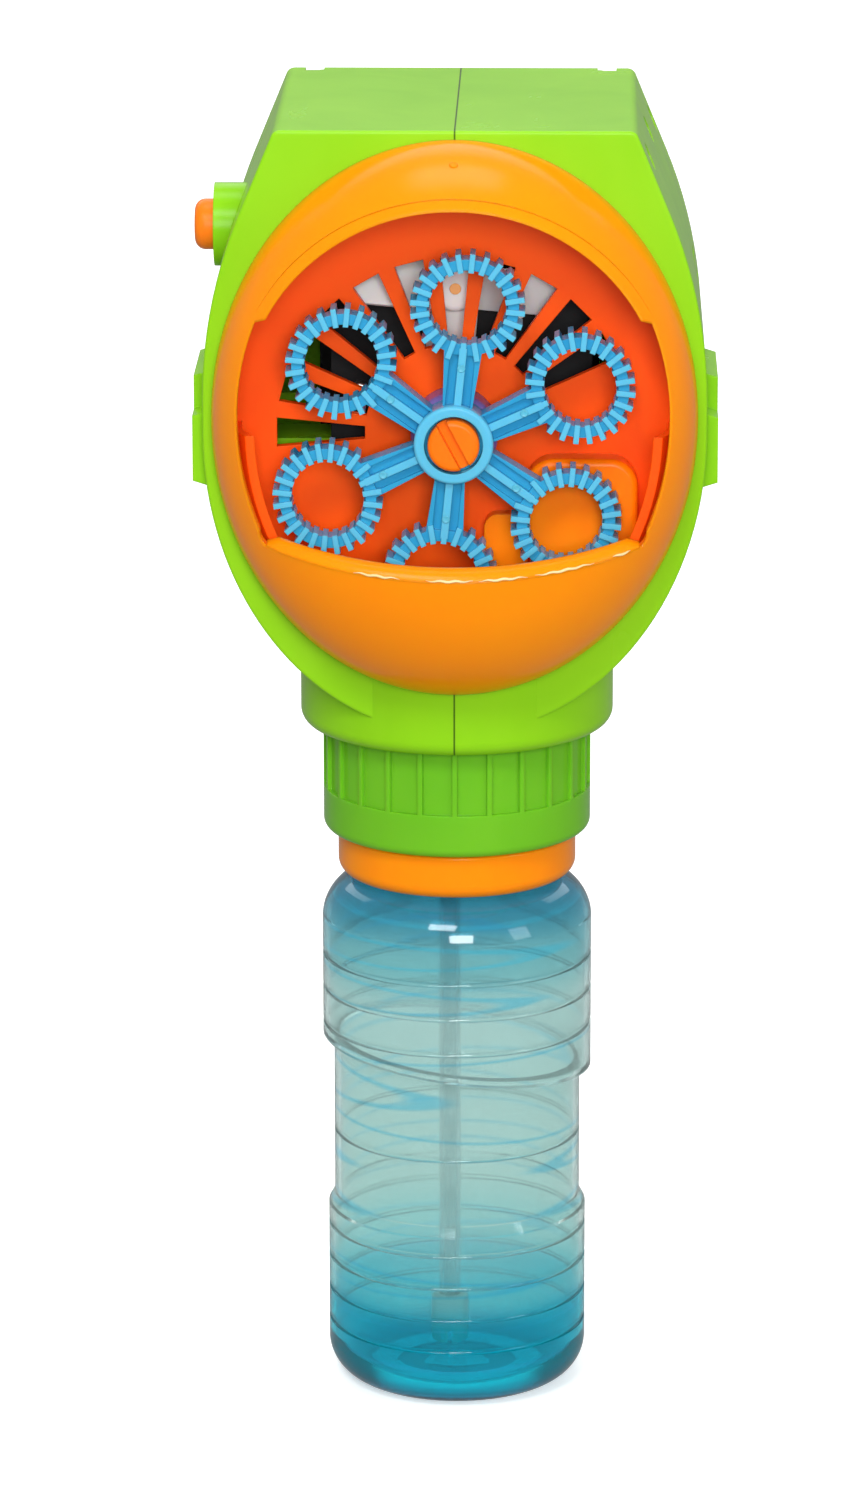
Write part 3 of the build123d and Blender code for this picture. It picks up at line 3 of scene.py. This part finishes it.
import bpy
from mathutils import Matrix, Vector


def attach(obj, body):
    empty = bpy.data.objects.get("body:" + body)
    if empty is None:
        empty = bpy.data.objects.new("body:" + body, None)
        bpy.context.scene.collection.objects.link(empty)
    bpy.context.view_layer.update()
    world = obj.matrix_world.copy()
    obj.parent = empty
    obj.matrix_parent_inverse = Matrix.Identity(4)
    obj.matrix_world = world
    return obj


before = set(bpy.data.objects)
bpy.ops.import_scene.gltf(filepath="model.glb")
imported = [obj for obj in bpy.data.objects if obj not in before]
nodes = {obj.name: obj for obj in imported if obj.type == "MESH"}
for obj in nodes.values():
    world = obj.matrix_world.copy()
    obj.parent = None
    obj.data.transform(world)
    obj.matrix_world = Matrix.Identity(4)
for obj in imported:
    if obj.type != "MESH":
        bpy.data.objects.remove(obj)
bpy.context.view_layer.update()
scene = bpy.context.scene
MM = 0.001
BEVEL_SAMPLES = 4

# ------------------------------------------------------------------ node-tree helpers


class Tree:
    """A material's node tree, with short calls for the nodes used here."""

    def __init__(self, name):
        self.material = bpy.data.materials.new(name)
        self.material.use_nodes = True
        self.nodes = self.material.node_tree.nodes
        self.links = self.material.node_tree.links
        self.nodes.clear()
        output = self.nodes.new("ShaderNodeOutputMaterial")
        self.shader = self.nodes.new("ShaderNodeBsdfPrincipled")
        self.links.new(self.shader.outputs[0], output.inputs["Surface"])
        coordinates = self.nodes.new("ShaderNodeTexCoord")
        self.place = coordinates.outputs["Object"]
        self.axes = None

    def axis(self, letter):
        """Position along X, Y or Z, in metres."""
        if self.axes is None:
            self.axes = self.nodes.new("ShaderNodeSeparateXYZ")
            self.links.new(self.place, self.axes.inputs[0])
        return self.axes.outputs[letter]

    def stretched(self, sx, sy, sz):
        """The position scaled differently along each axis."""
        node = self.nodes.new("ShaderNodeMapping")
        node.inputs["Scale"].default_value = (sx, sy, sz)
        self.links.new(self.place, node.inputs["Vector"])
        return node.outputs[0]

    def noise(self, scale, detail, rough=0.55, vector=None, distortion=0.0):
        """Smooth noise, at the plain position unless another vector is given."""
        node = self.nodes.new("ShaderNodeTexNoise")
        node.inputs["Scale"].default_value = scale
        node.inputs["Detail"].default_value = detail
        node.inputs["Roughness"].default_value = rough
        node.inputs["Distortion"].default_value = distortion
        self.links.new(vector or self.place, node.inputs["Vector"])
        return node.outputs["Fac"]

    def spans(self, value, low, high, out_low, out_high, smooth=False):
        """Map a value's span onto another, clamped."""
        node = self.nodes.new("ShaderNodeMapRange")
        node.interpolation_type = "SMOOTHSTEP" if smooth else "LINEAR"
        ends = {"From Min": low, "From Max": high, "To Min": out_low, "To Max": out_high}
        for name, number in ends.items():
            node.inputs[name].default_value = number
        self.links.new(value, node.inputs["Value"])
        return node.outputs["Result"]

    def math(self, operation, first, second=None):
        """Arithmetic on sockets and numbers."""
        node = self.nodes.new("ShaderNodeMath")
        node.operation = operation
        for socket, value in zip(node.inputs, (first, second)):
            if isinstance(value, float):
                socket.default_value = value
            elif value is not None:
                self.links.new(value, socket)
        return node.outputs[0]

    def ramp(self, value, stops, ease=False):
        """Colour along a value: stops are (position, colour)."""
        node = self.nodes.new("ShaderNodeValToRGB")
        node.color_ramp.interpolation = "EASE" if ease else "LINEAR"
        points = node.color_ramp.elements
        while len(points) < len(stops):
            points.new(0.5)
        for point, (position, colour) in zip(points, stops):
            point.position = position
            point.color = (*colour, 1.0)
        self.links.new(value, node.inputs[0])
        return node.outputs["Color"]

    def blend(self, factor, under, over):
        """Mix two colours; each is a socket or a plain colour set on the node's own socket."""
        node = self.nodes.new("ShaderNodeMix")
        node.data_type = "RGBA"
        self.links.new(factor, node.inputs[0])
        for socket, colour in ((node.inputs[6], under), (node.inputs[7], over)):
            if isinstance(colour, tuple):
                socket.default_value = (*colour, 1.0)
            else:
                self.links.new(colour, socket)
        return node.outputs[2]

    def relief(self, heights, edge=0.0):
        """Bump from (height socket, distance in metres) pairs, on edges softened by the given radius."""
        normal = None
        if edge:
            soft = self.nodes.new("ShaderNodeBevel")
            soft.samples = BEVEL_SAMPLES
            soft.inputs["Radius"].default_value = edge
            normal = soft.outputs[0]
        for height, distance in heights:
            bump = self.nodes.new("ShaderNodeBump")
            bump.inputs["Strength"].default_value = 1.0
            bump.inputs["Distance"].default_value = distance
            self.links.new(height, bump.inputs["Height"])
            if normal:
                self.links.new(normal, bump.inputs["Normal"])
            normal = bump.outputs[0]
        self.links.new(normal, self.shader.inputs["Normal"])

    def feed(self, name, value):
        """Set a shader socket to a socket, a number or a colour."""
        socket = self.shader.inputs[name]
        if isinstance(value, (int, float)):
            socket.default_value = value
        elif isinstance(value, tuple):
            socket.default_value = (*value, 1.0) if len(socket.default_value) == 4 else value
        else:
            self.links.new(value, socket)


def shade(colour, factor):
    """The colour made darker or lighter."""
    return tuple(min(1.0, channel * factor) for channel in colour)


# Rises of the moulded surface's flow marks and grain are in millimetres
PLASTIC_IOR = 1.49
PLASTIC_GLOSS = 0.14
GLOW_DEPTH = 2.5 * MM
FLOW_RISE = 0.003
GRAIN_RISE = 0.0015
WARM_GLOW = (1.0, 0.5, 0.2)
SEAM_HALF_WIDTH, SEAM_FADE_END = 0.08 * MM, 0.22 * MM


def plastic(name, colour, deep, rough, glow=0.0, glow_radius=WARM_GLOW, edge=0.25, grain=0.0):
    """Moulded plastic: slow colour drift, flow marks, a fine grain and soft edges; sizes in millimetres."""
    tree = Tree(name)
    drift = tree.noise(22.0, 2.0)
    flow = tree.noise(60.0, 4.0, vector=tree.stretched(1.0, 1.0, 0.25), distortion=0.6)
    clouds = tree.math("ADD", tree.math("MULTIPLY", drift, 0.7), tree.math("MULTIPLY", flow, 0.3))
    tint = tree.ramp(clouds, [(0.34, deep), (0.66, colour)])
    tree.feed("Base Color", tint)
    tree.feed("Roughness", tree.spans(flow, 0.3, 0.7, rough - 0.02, rough + 0.04))
    tree.feed("IOR", PLASTIC_IOR)
    tree.feed("Specular IOR Level", PLASTIC_GLOSS)
    if glow:
        tree.feed("Subsurface Weight", glow)
        tree.feed("Subsurface Radius", glow_radius)
        tree.feed("Subsurface Scale", GLOW_DEPTH)
    fine = tree.noise(900.0, 3.0)
    tree.relief([(flow, FLOW_RISE * MM), (fine, (GRAIN_RISE + grain) * MM)], edge=edge * MM)
    tree.tint = tint
    return tree


def seam_line(tree, dark):
    """Dark hairline where the two shells meet."""
    off_centre = tree.math("ABSOLUTE", tree.axis("X"))
    line = tree.spans(off_centre, SEAM_HALF_WIDTH, SEAM_FADE_END, 1.0, 0.0, smooth=True)
    tree.feed("Base Color", tree.blend(line, tree.tint, dark))


def metal(name, colour, rough, stretch=(1.0, 1.0, 1.0)):
    """Plated or drawn metal with brushed streaks and dull patches."""
    tree = Tree(name)
    streaks = tree.noise(700.0, 4.0, 0.65, vector=tree.stretched(*stretch))
    patches = tree.noise(90.0, 3.0)
    tree.feed("Base Color", tree.ramp(patches, [(0.3, shade(colour, 0.8)), (0.7, shade(colour, 1.08))]))
    tree.feed("Metallic", 1.0)
    tree.feed("Roughness", tree.spans(streaks, 0.3, 0.7, rough - 0.08, rough + 0.12))
    tree.relief([(streaks, 0.02 * MM)], edge=0.1 * MM)
    return tree


def clear_tube(name, colour):
    """Soft clear tube, cloudy in places."""
    tree = Tree(name)
    cloud = tree.noise(160.0, 3.0)
    tree.feed("Base Color", tree.ramp(cloud, [(0.3, shade(colour, 0.9)), (0.7, colour)]))
    tree.feed("Transmission Weight", 0.85)
    tree.feed("Roughness", tree.spans(cloud, 0.3, 0.7, 0.08, 0.25))
    tree.feed("IOR", 1.42)
    tree.relief([(tree.noise(600.0, 2.0), 0.02 * MM)])
    return tree


# ------------------------------------------------------------------ materials

GREEN = (0.27, 0.62, 0.012)
GREEN_DEEP = (0.235, 0.57, 0.008)
LEAF = (0.17, 0.50, 0.02)
LEAF_DEEP = (0.13, 0.44, 0.014)
ORANGE = (1.0, 0.29, 0.002)
ORANGE_DEEP = (1.0, 0.262, 0.002)
# Painted shade: the next two colours are a darker, redder copy of the bezel orange for the grille plate and
# drip tray down in the recess; the feed block's darker tone drifts towards it too
RECESS_SHADE_ORANGE = (1.0, 0.105, 0.001)
RECESS_SHADE_ORANGE_DEEP = (1.0, 0.085, 0.001)
BLUE = (0.035, 0.36, 0.60)
BLUE_DEEP = (0.02, 0.27, 0.52)
GREEN_GLOW = (0.7, 1.0, 0.1)
ORANGE_GLOW = (1.0, 0.4, 0.05)
RED_GLOW = (1.0, 0.25, 0.03)
VIOLET_GLOW = (0.5, 0.4, 1.0)
BLUE_GLOW = (0.2, 0.6, 1.0)
BAR_FRONT_Y, BAR_ROOT_Y = -33.75 * MM, -33.15 * MM
BOTTLE_TOP = 108.0 * MM

looks = {}

looks["shell"] = plastic("shell_green", GREEN, GREEN_DEEP, 0.24, 0.25, GREEN_GLOW, edge=0.35)
seam_line(looks["shell"], (0.07, 0.17, 0.008))
looks["door"] = plastic("door_green", GREEN, GREEN_DEEP, 0.27, 0.2, GREEN_GLOW)
looks["bezel"] = plastic("bezel_orange", ORANGE, ORANGE_DEEP, 0.22, 0.3, ORANGE_GLOW, edge=0.8)
# Painted shade: grille plate and drip tray in the recess-shaded orange
looks["plate"] = plastic("plate_orange_recess_shade", RECESS_SHADE_ORANGE, RECESS_SHADE_ORANGE_DEEP, 0.38, 0.2, RED_GLOW)
looks["block"] = plastic("block_orange", shade(ORANGE, 0.98), shade(RECESS_SHADE_ORANGE, 1.1), 0.3, 0.3, ORANGE_GLOW)
looks["axle"] = plastic("axle_orange", (0.98, 0.22, 0.004), (0.9, 0.15, 0.004), 0.3, 0.2)
looks["adapter"] = plastic("adapter_orange", ORANGE, (1.0, 0.235, 0.004), 0.16, 0.35, ORANGE_GLOW)
looks["button"] = plastic("button_orange", (1.0, 0.23, 0.01), (0.95, 0.17, 0.008), 0.34, 0.2)
# Painted shade: the spacer disc behind the hub is violet, partly standing for the blue hub's shadow on the
# orange behind it
looks["spacer"] = plastic("spacer_violet", (0.22, 0.16, 0.42), (0.14, 0.10, 0.34), 0.25, 0.3, VIOLET_GLOW)
looks["collar"] = plastic("collar_green", LEAF, LEAF_DEEP, 0.2, 0.45, GREEN_GLOW, edge=0.3)
# Painted highlight and flash: pale cream for the slivers on the lip's edge, partly moulding flash and partly
# the lip's bright highlights
looks["flash"] = plastic("flash_glint_cream", (1.0, 0.80, 0.45), (1.0, 0.62, 0.20), 0.3, 0.3)
looks["white"] = plastic("plain_white", (0.80, 0.80, 0.77), (0.74, 0.74, 0.71), 0.4, 0.15)
looks["gear"] = plastic("gear_white", (0.82, 0.82, 0.76), (0.76, 0.75, 0.69), 0.42, 0.2, grain=0.01)
looks["fan"] = plastic("fan_white", (0.86, 0.87, 0.86), (0.80, 0.81, 0.80), 0.3, 0.2)
looks["plate_dark"] = plastic("gearbox_black", (0.012, 0.012, 0.013), (0.006, 0.006, 0.007), 0.5, grain=0.03)
looks["black"] = plastic("black_plastic", (0.02, 0.02, 0.021), (0.012, 0.012, 0.013), 0.42, grain=0.02)
looks["wire_red"] = plastic("wire_red", (0.62, 0.02, 0.012), (0.5, 0.014, 0.01), 0.4)
looks["wire_black"] = plastic("wire_black", (0.02, 0.02, 0.022), (0.012, 0.012, 0.013), 0.42)
looks["rubber"] = plastic("seal_grey", (0.17, 0.17, 0.18), (0.12, 0.12, 0.13), 0.6, grain=0.02)
looks["magnet"] = plastic("magnet_dark", (0.05, 0.048, 0.046), (0.03, 0.03, 0.03), 0.6, grain=0.05)
looks["steel"] = metal("steel", (0.62, 0.62, 0.60), 0.3)
looks["can"] = metal("can_steel", (0.62, 0.63, 0.65), 0.28, stretch=(1.0, 0.1, 1.0))
looks["nickel"] = metal("contact_nickel", (0.74, 0.72, 0.66), 0.22)
looks["copper"] = metal("copper", (0.72, 0.32, 0.12), 0.35, stretch=(0.1, 1.0, 0.1))
looks["tube"] = clear_tube("tube_clear", (0.93, 0.96, 0.97))


def wheel_look():
    """Blue wheel: the raised bars' front faces painted lighter than the web behind them, as painted light
    where they face the lamps.
    """
    tree = plastic("wheel_blue", BLUE, BLUE_DEEP, 0.26, 0.3, BLUE_GLOW, edge=0.15)
    # Painted light: the bars' front faces are mixed towards a lighter blue
    front = tree.spans(tree.axis("Y"), BAR_FRONT_Y, BAR_ROOT_Y, 1.0, 0.0, smooth=True)
    tree.feed("Base Color", tree.blend(front, tree.tint, (0.10, 0.46, 0.68)))
    return tree


def bottle_look():
    """Blown clear blue: pale in the middle, deep at the shoulder, neck and foot, with wavy walls and painted
    blue refraction lines.
    """
    tree = Tree("bottle_blue")
    height = tree.axis("Z")
    tint = tree.ramp(
        tree.spans(height, 0.0, BOTTLE_TOP, 0.0, 1.0),
        [
            (0.0, (0.0, 0.30, 0.46)),
            (0.05, (0.0, 0.62, 0.74)),
            (0.14, (0.0, 0.52, 0.64)),
            (0.20, (0.34, 0.70, 0.71)),
            (0.30, (0.58, 0.75, 0.72)),
            (0.68, (0.56, 0.73, 0.71)),
            (0.78, (0.26, 0.56, 0.60)),
            (0.87, (0.06, 0.34, 0.48)),
        ],
        ease=True,
    )
    cloud = tree.noise(45.0, 3.0)
    streaks = tree.noise(20.0, 0.0, vector=tree.stretched(0.3, 0.3, 6.0))
    # Painted refraction: thin saturated-blue wavy lines along one level of the wall waves
    off_refraction_line = tree.math("ABSOLUTE", tree.math("SUBTRACT", streaks, 0.46))
    line = tree.spans(off_refraction_line, 0.004, 0.022, 0.55, 0.0, smooth=True)
    tree.feed("Base Color", tree.blend(line, tint, (0.05, 0.55, 0.75)))
    tree.feed("Transmission Weight", 0.86)
    tree.feed("Roughness", tree.spans(cloud, 0.3, 0.7, 0.05, 0.09))
    tree.feed("IOR", 1.45)
    tree.relief([(streaks, 0.04 * MM)])
    return tree


looks["wheel"] = wheel_look()
looks["bottle"] = bottle_look()

DRESS = {
    "shell": ["housing_left", "housing_right"],
    "door": ["battery_door"],
    "bezel": ["front_bezel"],
    "plate": ["air_grille", "drip_tray"],
    "block": ["feed_block"],
    "axle": ["wand_axle"],
    "adapter": ["adapter_ring"],
    "button": ["power_button"],
    "spacer": ["wheel_spacer"],
    "collar": ["collar"],
    "wheel": ["wand_wheel"],
    "bottle": ["bottle"],
    "white": ["bottle_socket", "intake_filter", "motor_end_cap"],
    "gear": ["output_gear", "first_gear", "second_gear", "motor_pinion", "pump_rotor", "pump_gear",
             "pump_roller_1", "pump_roller_2", "pump_roller_3"],
    "fan": ["fan"],
    "plate_dark": ["gearbox_front", "gearbox_rear", "pump_cover"],
    "black": ["battery_box", "power_switch"],
    "wire_red": ["wire_battery_switch", "wire_switch_motor"],
    "wire_black": ["wire_battery_motor"],
    "rubber": ["socket_seal", "neck_seal"],
    "magnet": ["motor_magnets"],
    "steel": ["gear_pins", "gearbox_screws", "motor_screws", "housing_screws", "button_spring", "door_screw"],
    "can": ["motor_can"],
    "nickel": ["contact_plates", "cell_springs"],
    "copper": ["motor_armature"],
    "tube": ["dip_tube", "feed_hose", "drain_hose"],
}
for look, names in DRESS.items():
    for name in names:
        slots = nodes[name].data.materials
        slots.clear()
        slots.append(looks[look].material)

# ------------------------------------------------------------------ moulded details on the bezel and wheel

# In millimetres and degrees, on the CAD's own axes
DOME_HALF_WIDTH, DOME_HALF_HEIGHT, DOME_DEPTH = 42.4, 49.1, 30.0
DOME_FACE_Y, DOME_Z = -24.0, 184.2
LIP_RADIUS, LIP_BOTTOM_Z = 143.7, 161.3
MOUTH_RADIUS, MOUTH_Z = 36.5, 187.4
LEDGE_HALF_WIDTH, LEDGE_STEPS = 32.2, 60
LEDGE_END_X, LEDGE_TAPER = 33.0, 3.0
FLASH_GLINT_STEPS = 16
MOUTH_LINE_GAP, MOUTH_LINE_STEPS = 1.9, 96
MOUTH_LINE_START, MOUTH_LINE_SWEEP = 28.0, 124.0
TUBE_SIDES = 8
GATE_Z, GATE_RADIUS, GATE_RISE = 230.6, 0.75, 0.22
HUB_Z, ARM_MARK_RADIUS, ARM_FACE_Y = 181.8, 13.4, -33.8
WAND_TURN, WAND_COUNT = 84.3, 6
EJECTOR_RADIUS, EJECTOR_RISE = 0.72, 0.18


def dome_y(x, z):
    """Depth of the bezel's outer face at (x, z), in millimetres."""
    inside = 1.0 - (x / DOME_HALF_WIDTH) ** 2 - ((z - DOME_Z) / DOME_HALF_HEIGHT) ** 2
    return DOME_FACE_Y - DOME_DEPTH * sqrt(max(inside, 0.0))


def lip_z(x):
    """Height of the bezel's lip at x, in millimetres."""
    return LIP_BOTTOM_Z + LIP_RADIUS - sqrt(LIP_RADIUS**2 - x**2)


def rings_mesh(name, lengths, look, body):
    """Closed skins over lengths, each a row of rings of points in millimetres, capped at both ends."""
    points, faces = [], []
    for rings in lengths:
        start, around = len(points), len(rings[0])
        for ring in rings:
            points.extend(Vector(point) * MM for point in ring)
        for i in range(len(rings) - 1):
            for j in range(around):
                a, b = start + i * around + j, start + i * around + (j + 1) % around
                faces.append((a, b, b + around, a + around))
        faces.append(tuple(start + j for j in reversed(range(around))))
        faces.append(tuple(start + (len(rings) - 1) * around + j for j in range(around)))
    mesh = bpy.data.meshes.new(name)
    mesh.from_pydata(points, [], faces)
    mesh.shade_smooth()
    mesh.set_sharp_from_angle(angle=radians(50))
    mesh.materials.append(looks[look].material)
    piece = bpy.data.objects.new(name, mesh)
    scene.collection.objects.link(piece)
    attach(piece, body)


def tube_rings(path, radius_at):
    """Rings of a thin tube round a path in millimetres."""
    rings = []
    count = len(path)
    for i, point in enumerate(path):
        ahead = Vector(path[min(i + 1, count - 1)]) - Vector(path[max(i - 1, 0)])
        side = ahead.normalized().cross(Vector((0.0, 1.0, 0.0))).normalized()
        lift = side.cross(ahead.normalized())
        radius = radius_at(i / (count - 1))
        turns = [2 * pi * j / TUBE_SIDES for j in range(TUBE_SIDES)]
        rings.append([Vector(point) + (side * cos(t) + lift * sin(t)) * radius for t in turns])
    return rings


def lip_ledge():
    """Rounded ledge that stands up behind the lip's edge, from one corner of the mouth to the other."""
    section = [(0.0, -0.3), (0.2, 0.5), (0.9, 1.4), (1.9, 1.9)]
    section += [(2.9, 1.9), (3.4, 1.3), (3.3, -0.6), (1.2, -0.9)]
    rings = []
    for i in range(LEDGE_STEPS + 1):
        x = -LEDGE_HALF_WIDTH + 2 * LEDGE_HALF_WIDTH * i / LEDGE_STEPS
        base_z = lip_z(x)
        fade = min(1.0, (LEDGE_END_X - abs(x)) / LEDGE_TAPER)
        base_y = dome_y(x, base_z)
        rings.append([(x, base_y + dy, base_z + dz * fade) for dy, dz in section])
    rings_mesh("bezel_lip_ledge", [rings], "bezel", "head")


def lip_flash_glints():
    """Pale slivers along the lip's edge: moulding flash, and partly painted highlights where the edge catches
    the light.
    """
    runs = [(-17.0, -9.0), (-4.5, 3.6), (4.6, 13.0), (14.2, 24.4), (27.6, 30.6)]
    slivers = []
    for start, end in runs:
        path = []
        for i in range(FLASH_GLINT_STEPS + 1):
            x = start + (end - start) * i / FLASH_GLINT_STEPS
            z = lip_z(x) + 0.1 + 0.12 * sin(2.3 * x)
            path.append((x, dome_y(x, z) - 0.02, z))
        slivers.append(tube_rings(path, lambda t: 0.04 + 0.2 * sin(pi * t)))
    rings_mesh("bezel_lip_flash", slivers, "flash", "head")


def mouth_line():
    """Fine raised line on the bezel, just outside the top of its mouth."""
    radius = MOUTH_RADIUS + MOUTH_LINE_GAP
    path = []
    for i in range(MOUTH_LINE_STEPS + 1):
        angle = radians(MOUTH_LINE_START + MOUTH_LINE_SWEEP * i / MOUTH_LINE_STEPS)
        x = radius * cos(angle)
        z = MOUTH_Z + radius * sin(angle)
        path.append((x, dome_y(x, z) + 0.02, z))
    rings = tube_rings(path, lambda t: 0.03 + 0.11 * min(1.0, 6.0 * t, 6.0 * (1.0 - t)))
    rings_mesh("bezel_mouth_line", [rings], "bezel", "head")


def round_mark(centre, radius, rise, outward, steps):
    """Rings of a small round mark with a dished middle, standing on a face."""
    outward = Vector(outward).normalized()
    side = outward.cross(Vector((0.0, 0.0, 1.0))).normalized()
    lift = side.cross(outward)
    profile = [(1.0, -0.6), (1.0, 0.5), (0.86, 1.0), (0.62, 0.8), (0.3, 0.55), (0.02, 0.5)]
    turns = [2 * pi * j / steps for j in range(steps)]
    rings = []
    for reach, height in profile:
        spokes = [(side * cos(t) + lift * sin(t)) * (radius * reach) for t in turns]
        rings.append([Vector(centre) + spoke + outward * (rise * height) for spoke in spokes])
    return rings


def gate_mark():
    """Mould gate at the top of the bezel."""
    y = dome_y(0.0, GATE_Z)
    normal = (0.0, (y - DOME_FACE_Y) / DOME_DEPTH**2, (GATE_Z - DOME_Z) / DOME_HALF_HEIGHT**2)
    rings = round_mark((0.0, y, GATE_Z), GATE_RADIUS, GATE_RISE, normal, 20)
    rings_mesh("bezel_gate_mark", [rings], "bezel", "head")


def ejector_marks():
    """Ejector-pin mark on each arm of the wheel."""
    marks = []
    for index in range(WAND_COUNT):
        turn = radians(WAND_TURN + 360.0 / WAND_COUNT * index)
        x = ARM_MARK_RADIUS * cos(turn)
        z = HUB_Z + ARM_MARK_RADIUS * sin(turn)
        marks.append(round_mark((x, ARM_FACE_Y, z), EJECTOR_RADIUS, EJECTOR_RISE, (0.0, -1.0, 0.0), 14))
    rings_mesh("wheel_ejector_marks", marks, "wheel", "wheel")


lip_ledge()
lip_flash_glints()
mouth_line()
gate_mark()
ejector_marks()

# ------------------------------------------------------------------ floor, light and camera

# In metres
FLOOR_FRONT_Y, BEND_Y, BEND_RADIUS = -2.5, 1.2, 1.0
BACKDROP_TOP, STUDIO_HALF_WIDTH = 3.5, 3.0
HEART = (0.0, 0.0, 0.15)
ROOM_LIGHT = 0.36
CAMERA_PLACE, CAMERA_AIM = (0.0211, -1.2073, 0.4415), (0.0, 0.0, 0.118)
CAMERA_SENSOR, CAMERA_LENS, CAMERA_SHIFT = 36.0, 166.7, -0.019


def studio():
    """Pale floor that sweeps up into a backdrop."""
    profile = [(FLOOR_FRONT_Y, 0.0), (BEND_Y, 0.0)]
    for angle in range(6, 91, 6):
        along, up = sin(radians(angle)), 1.0 - cos(radians(angle))
        profile.append((BEND_Y + BEND_RADIUS * along, BEND_RADIUS * up))
    profile.append((BEND_Y + BEND_RADIUS, BACKDROP_TOP))
    points = [(side * STUDIO_HALF_WIDTH, y, z) for y, z in profile for side in (-1, 1)]
    faces = [(2 * i, 2 * i + 1, 2 * i + 3, 2 * i + 2) for i in range(len(profile) - 1)]
    mesh = bpy.data.meshes.new("studio_sweep")
    mesh.from_pydata(points, [], faces)
    mesh.shade_smooth()
    sweep = bpy.data.objects.new("studio_sweep", mesh)
    scene.collection.objects.link(sweep)
    tree = Tree("studio_paper")
    fibre = tree.noise(40.0, 4.0)
    tree.feed("Base Color", tree.ramp(fibre, [(0.3, (0.90, 0.90, 0.90)), (0.7, (0.93, 0.93, 0.93))]))
    tree.feed("Roughness", 0.9)
    tree.feed("Specular IOR Level", 0.1)
    tree.feed("Emission Color", (1.0, 1.0, 1.0))
    tree.feed("Emission Strength", 0.4)
    mesh.materials.append(tree.material)
    sweep.visible_diffuse = False
    sweep.visible_glossy = False


def turned_to(place, aim):
    """Rotation that points an object at place towards aim."""
    return (Vector(aim) - Vector(place)).to_track_quat("-Z", "Y").to_euler()


def panel_light(name, place, aim, size, power):
    """Soft rectangular light, its size in metres and its power in watts."""
    light = bpy.data.lights.new(name, "AREA")
    light.shape = "RECTANGLE"
    light.size, light.size_y = size
    light.energy = power
    holder = bpy.data.objects.new(name, light)
    holder.location = place
    holder.rotation_euler = turned_to(place, aim)
    scene.collection.objects.link(holder)


def room():
    """Even white light from all round."""
    world = bpy.data.worlds.new("soft_room")
    world.use_nodes = True
    background = world.node_tree.nodes["Background"]
    background.inputs["Color"].default_value = (1.0, 1.0, 1.0, 1.0)
    background.inputs["Strength"].default_value = ROOM_LIGHT
    scene.world = world


def main_camera():
    """Long lens in front of the machine, a little above it."""
    camera_data = bpy.data.cameras.new("camera")
    camera_data.sensor_fit = "VERTICAL"
    camera_data.sensor_height = CAMERA_SENSOR
    camera_data.lens = CAMERA_LENS
    camera_data.shift_x = CAMERA_SHIFT
    camera_data.clip_end = 20.0
    camera = bpy.data.objects.new("camera", camera_data)
    camera.location = CAMERA_PLACE
    camera.rotation_euler = turned_to(CAMERA_PLACE, CAMERA_AIM)
    scene.collection.objects.link(camera)
    scene.camera = camera
    scene.view_settings.view_transform = "Standard"


studio()
panel_light("key", (-0.25, -1.0, 1.1), HEART, (0.5, 0.35), 8.0)
panel_light("front", (0.12, -1.5, 0.55), HEART, (0.5, 0.5), 15.5)
panel_light("fill", (1.1, -0.7, 0.5), HEART, (0.4, 0.6), 2.5)
panel_light("top", (0.0, 0.15, 1.3), HEART, (0.6, 0.4), 3.5)
panel_light("back", (0.0, 1.1, 0.9), (0.0, 0.8, 0.0), (2.0, 1.0), 9.0)
room()
main_camera()
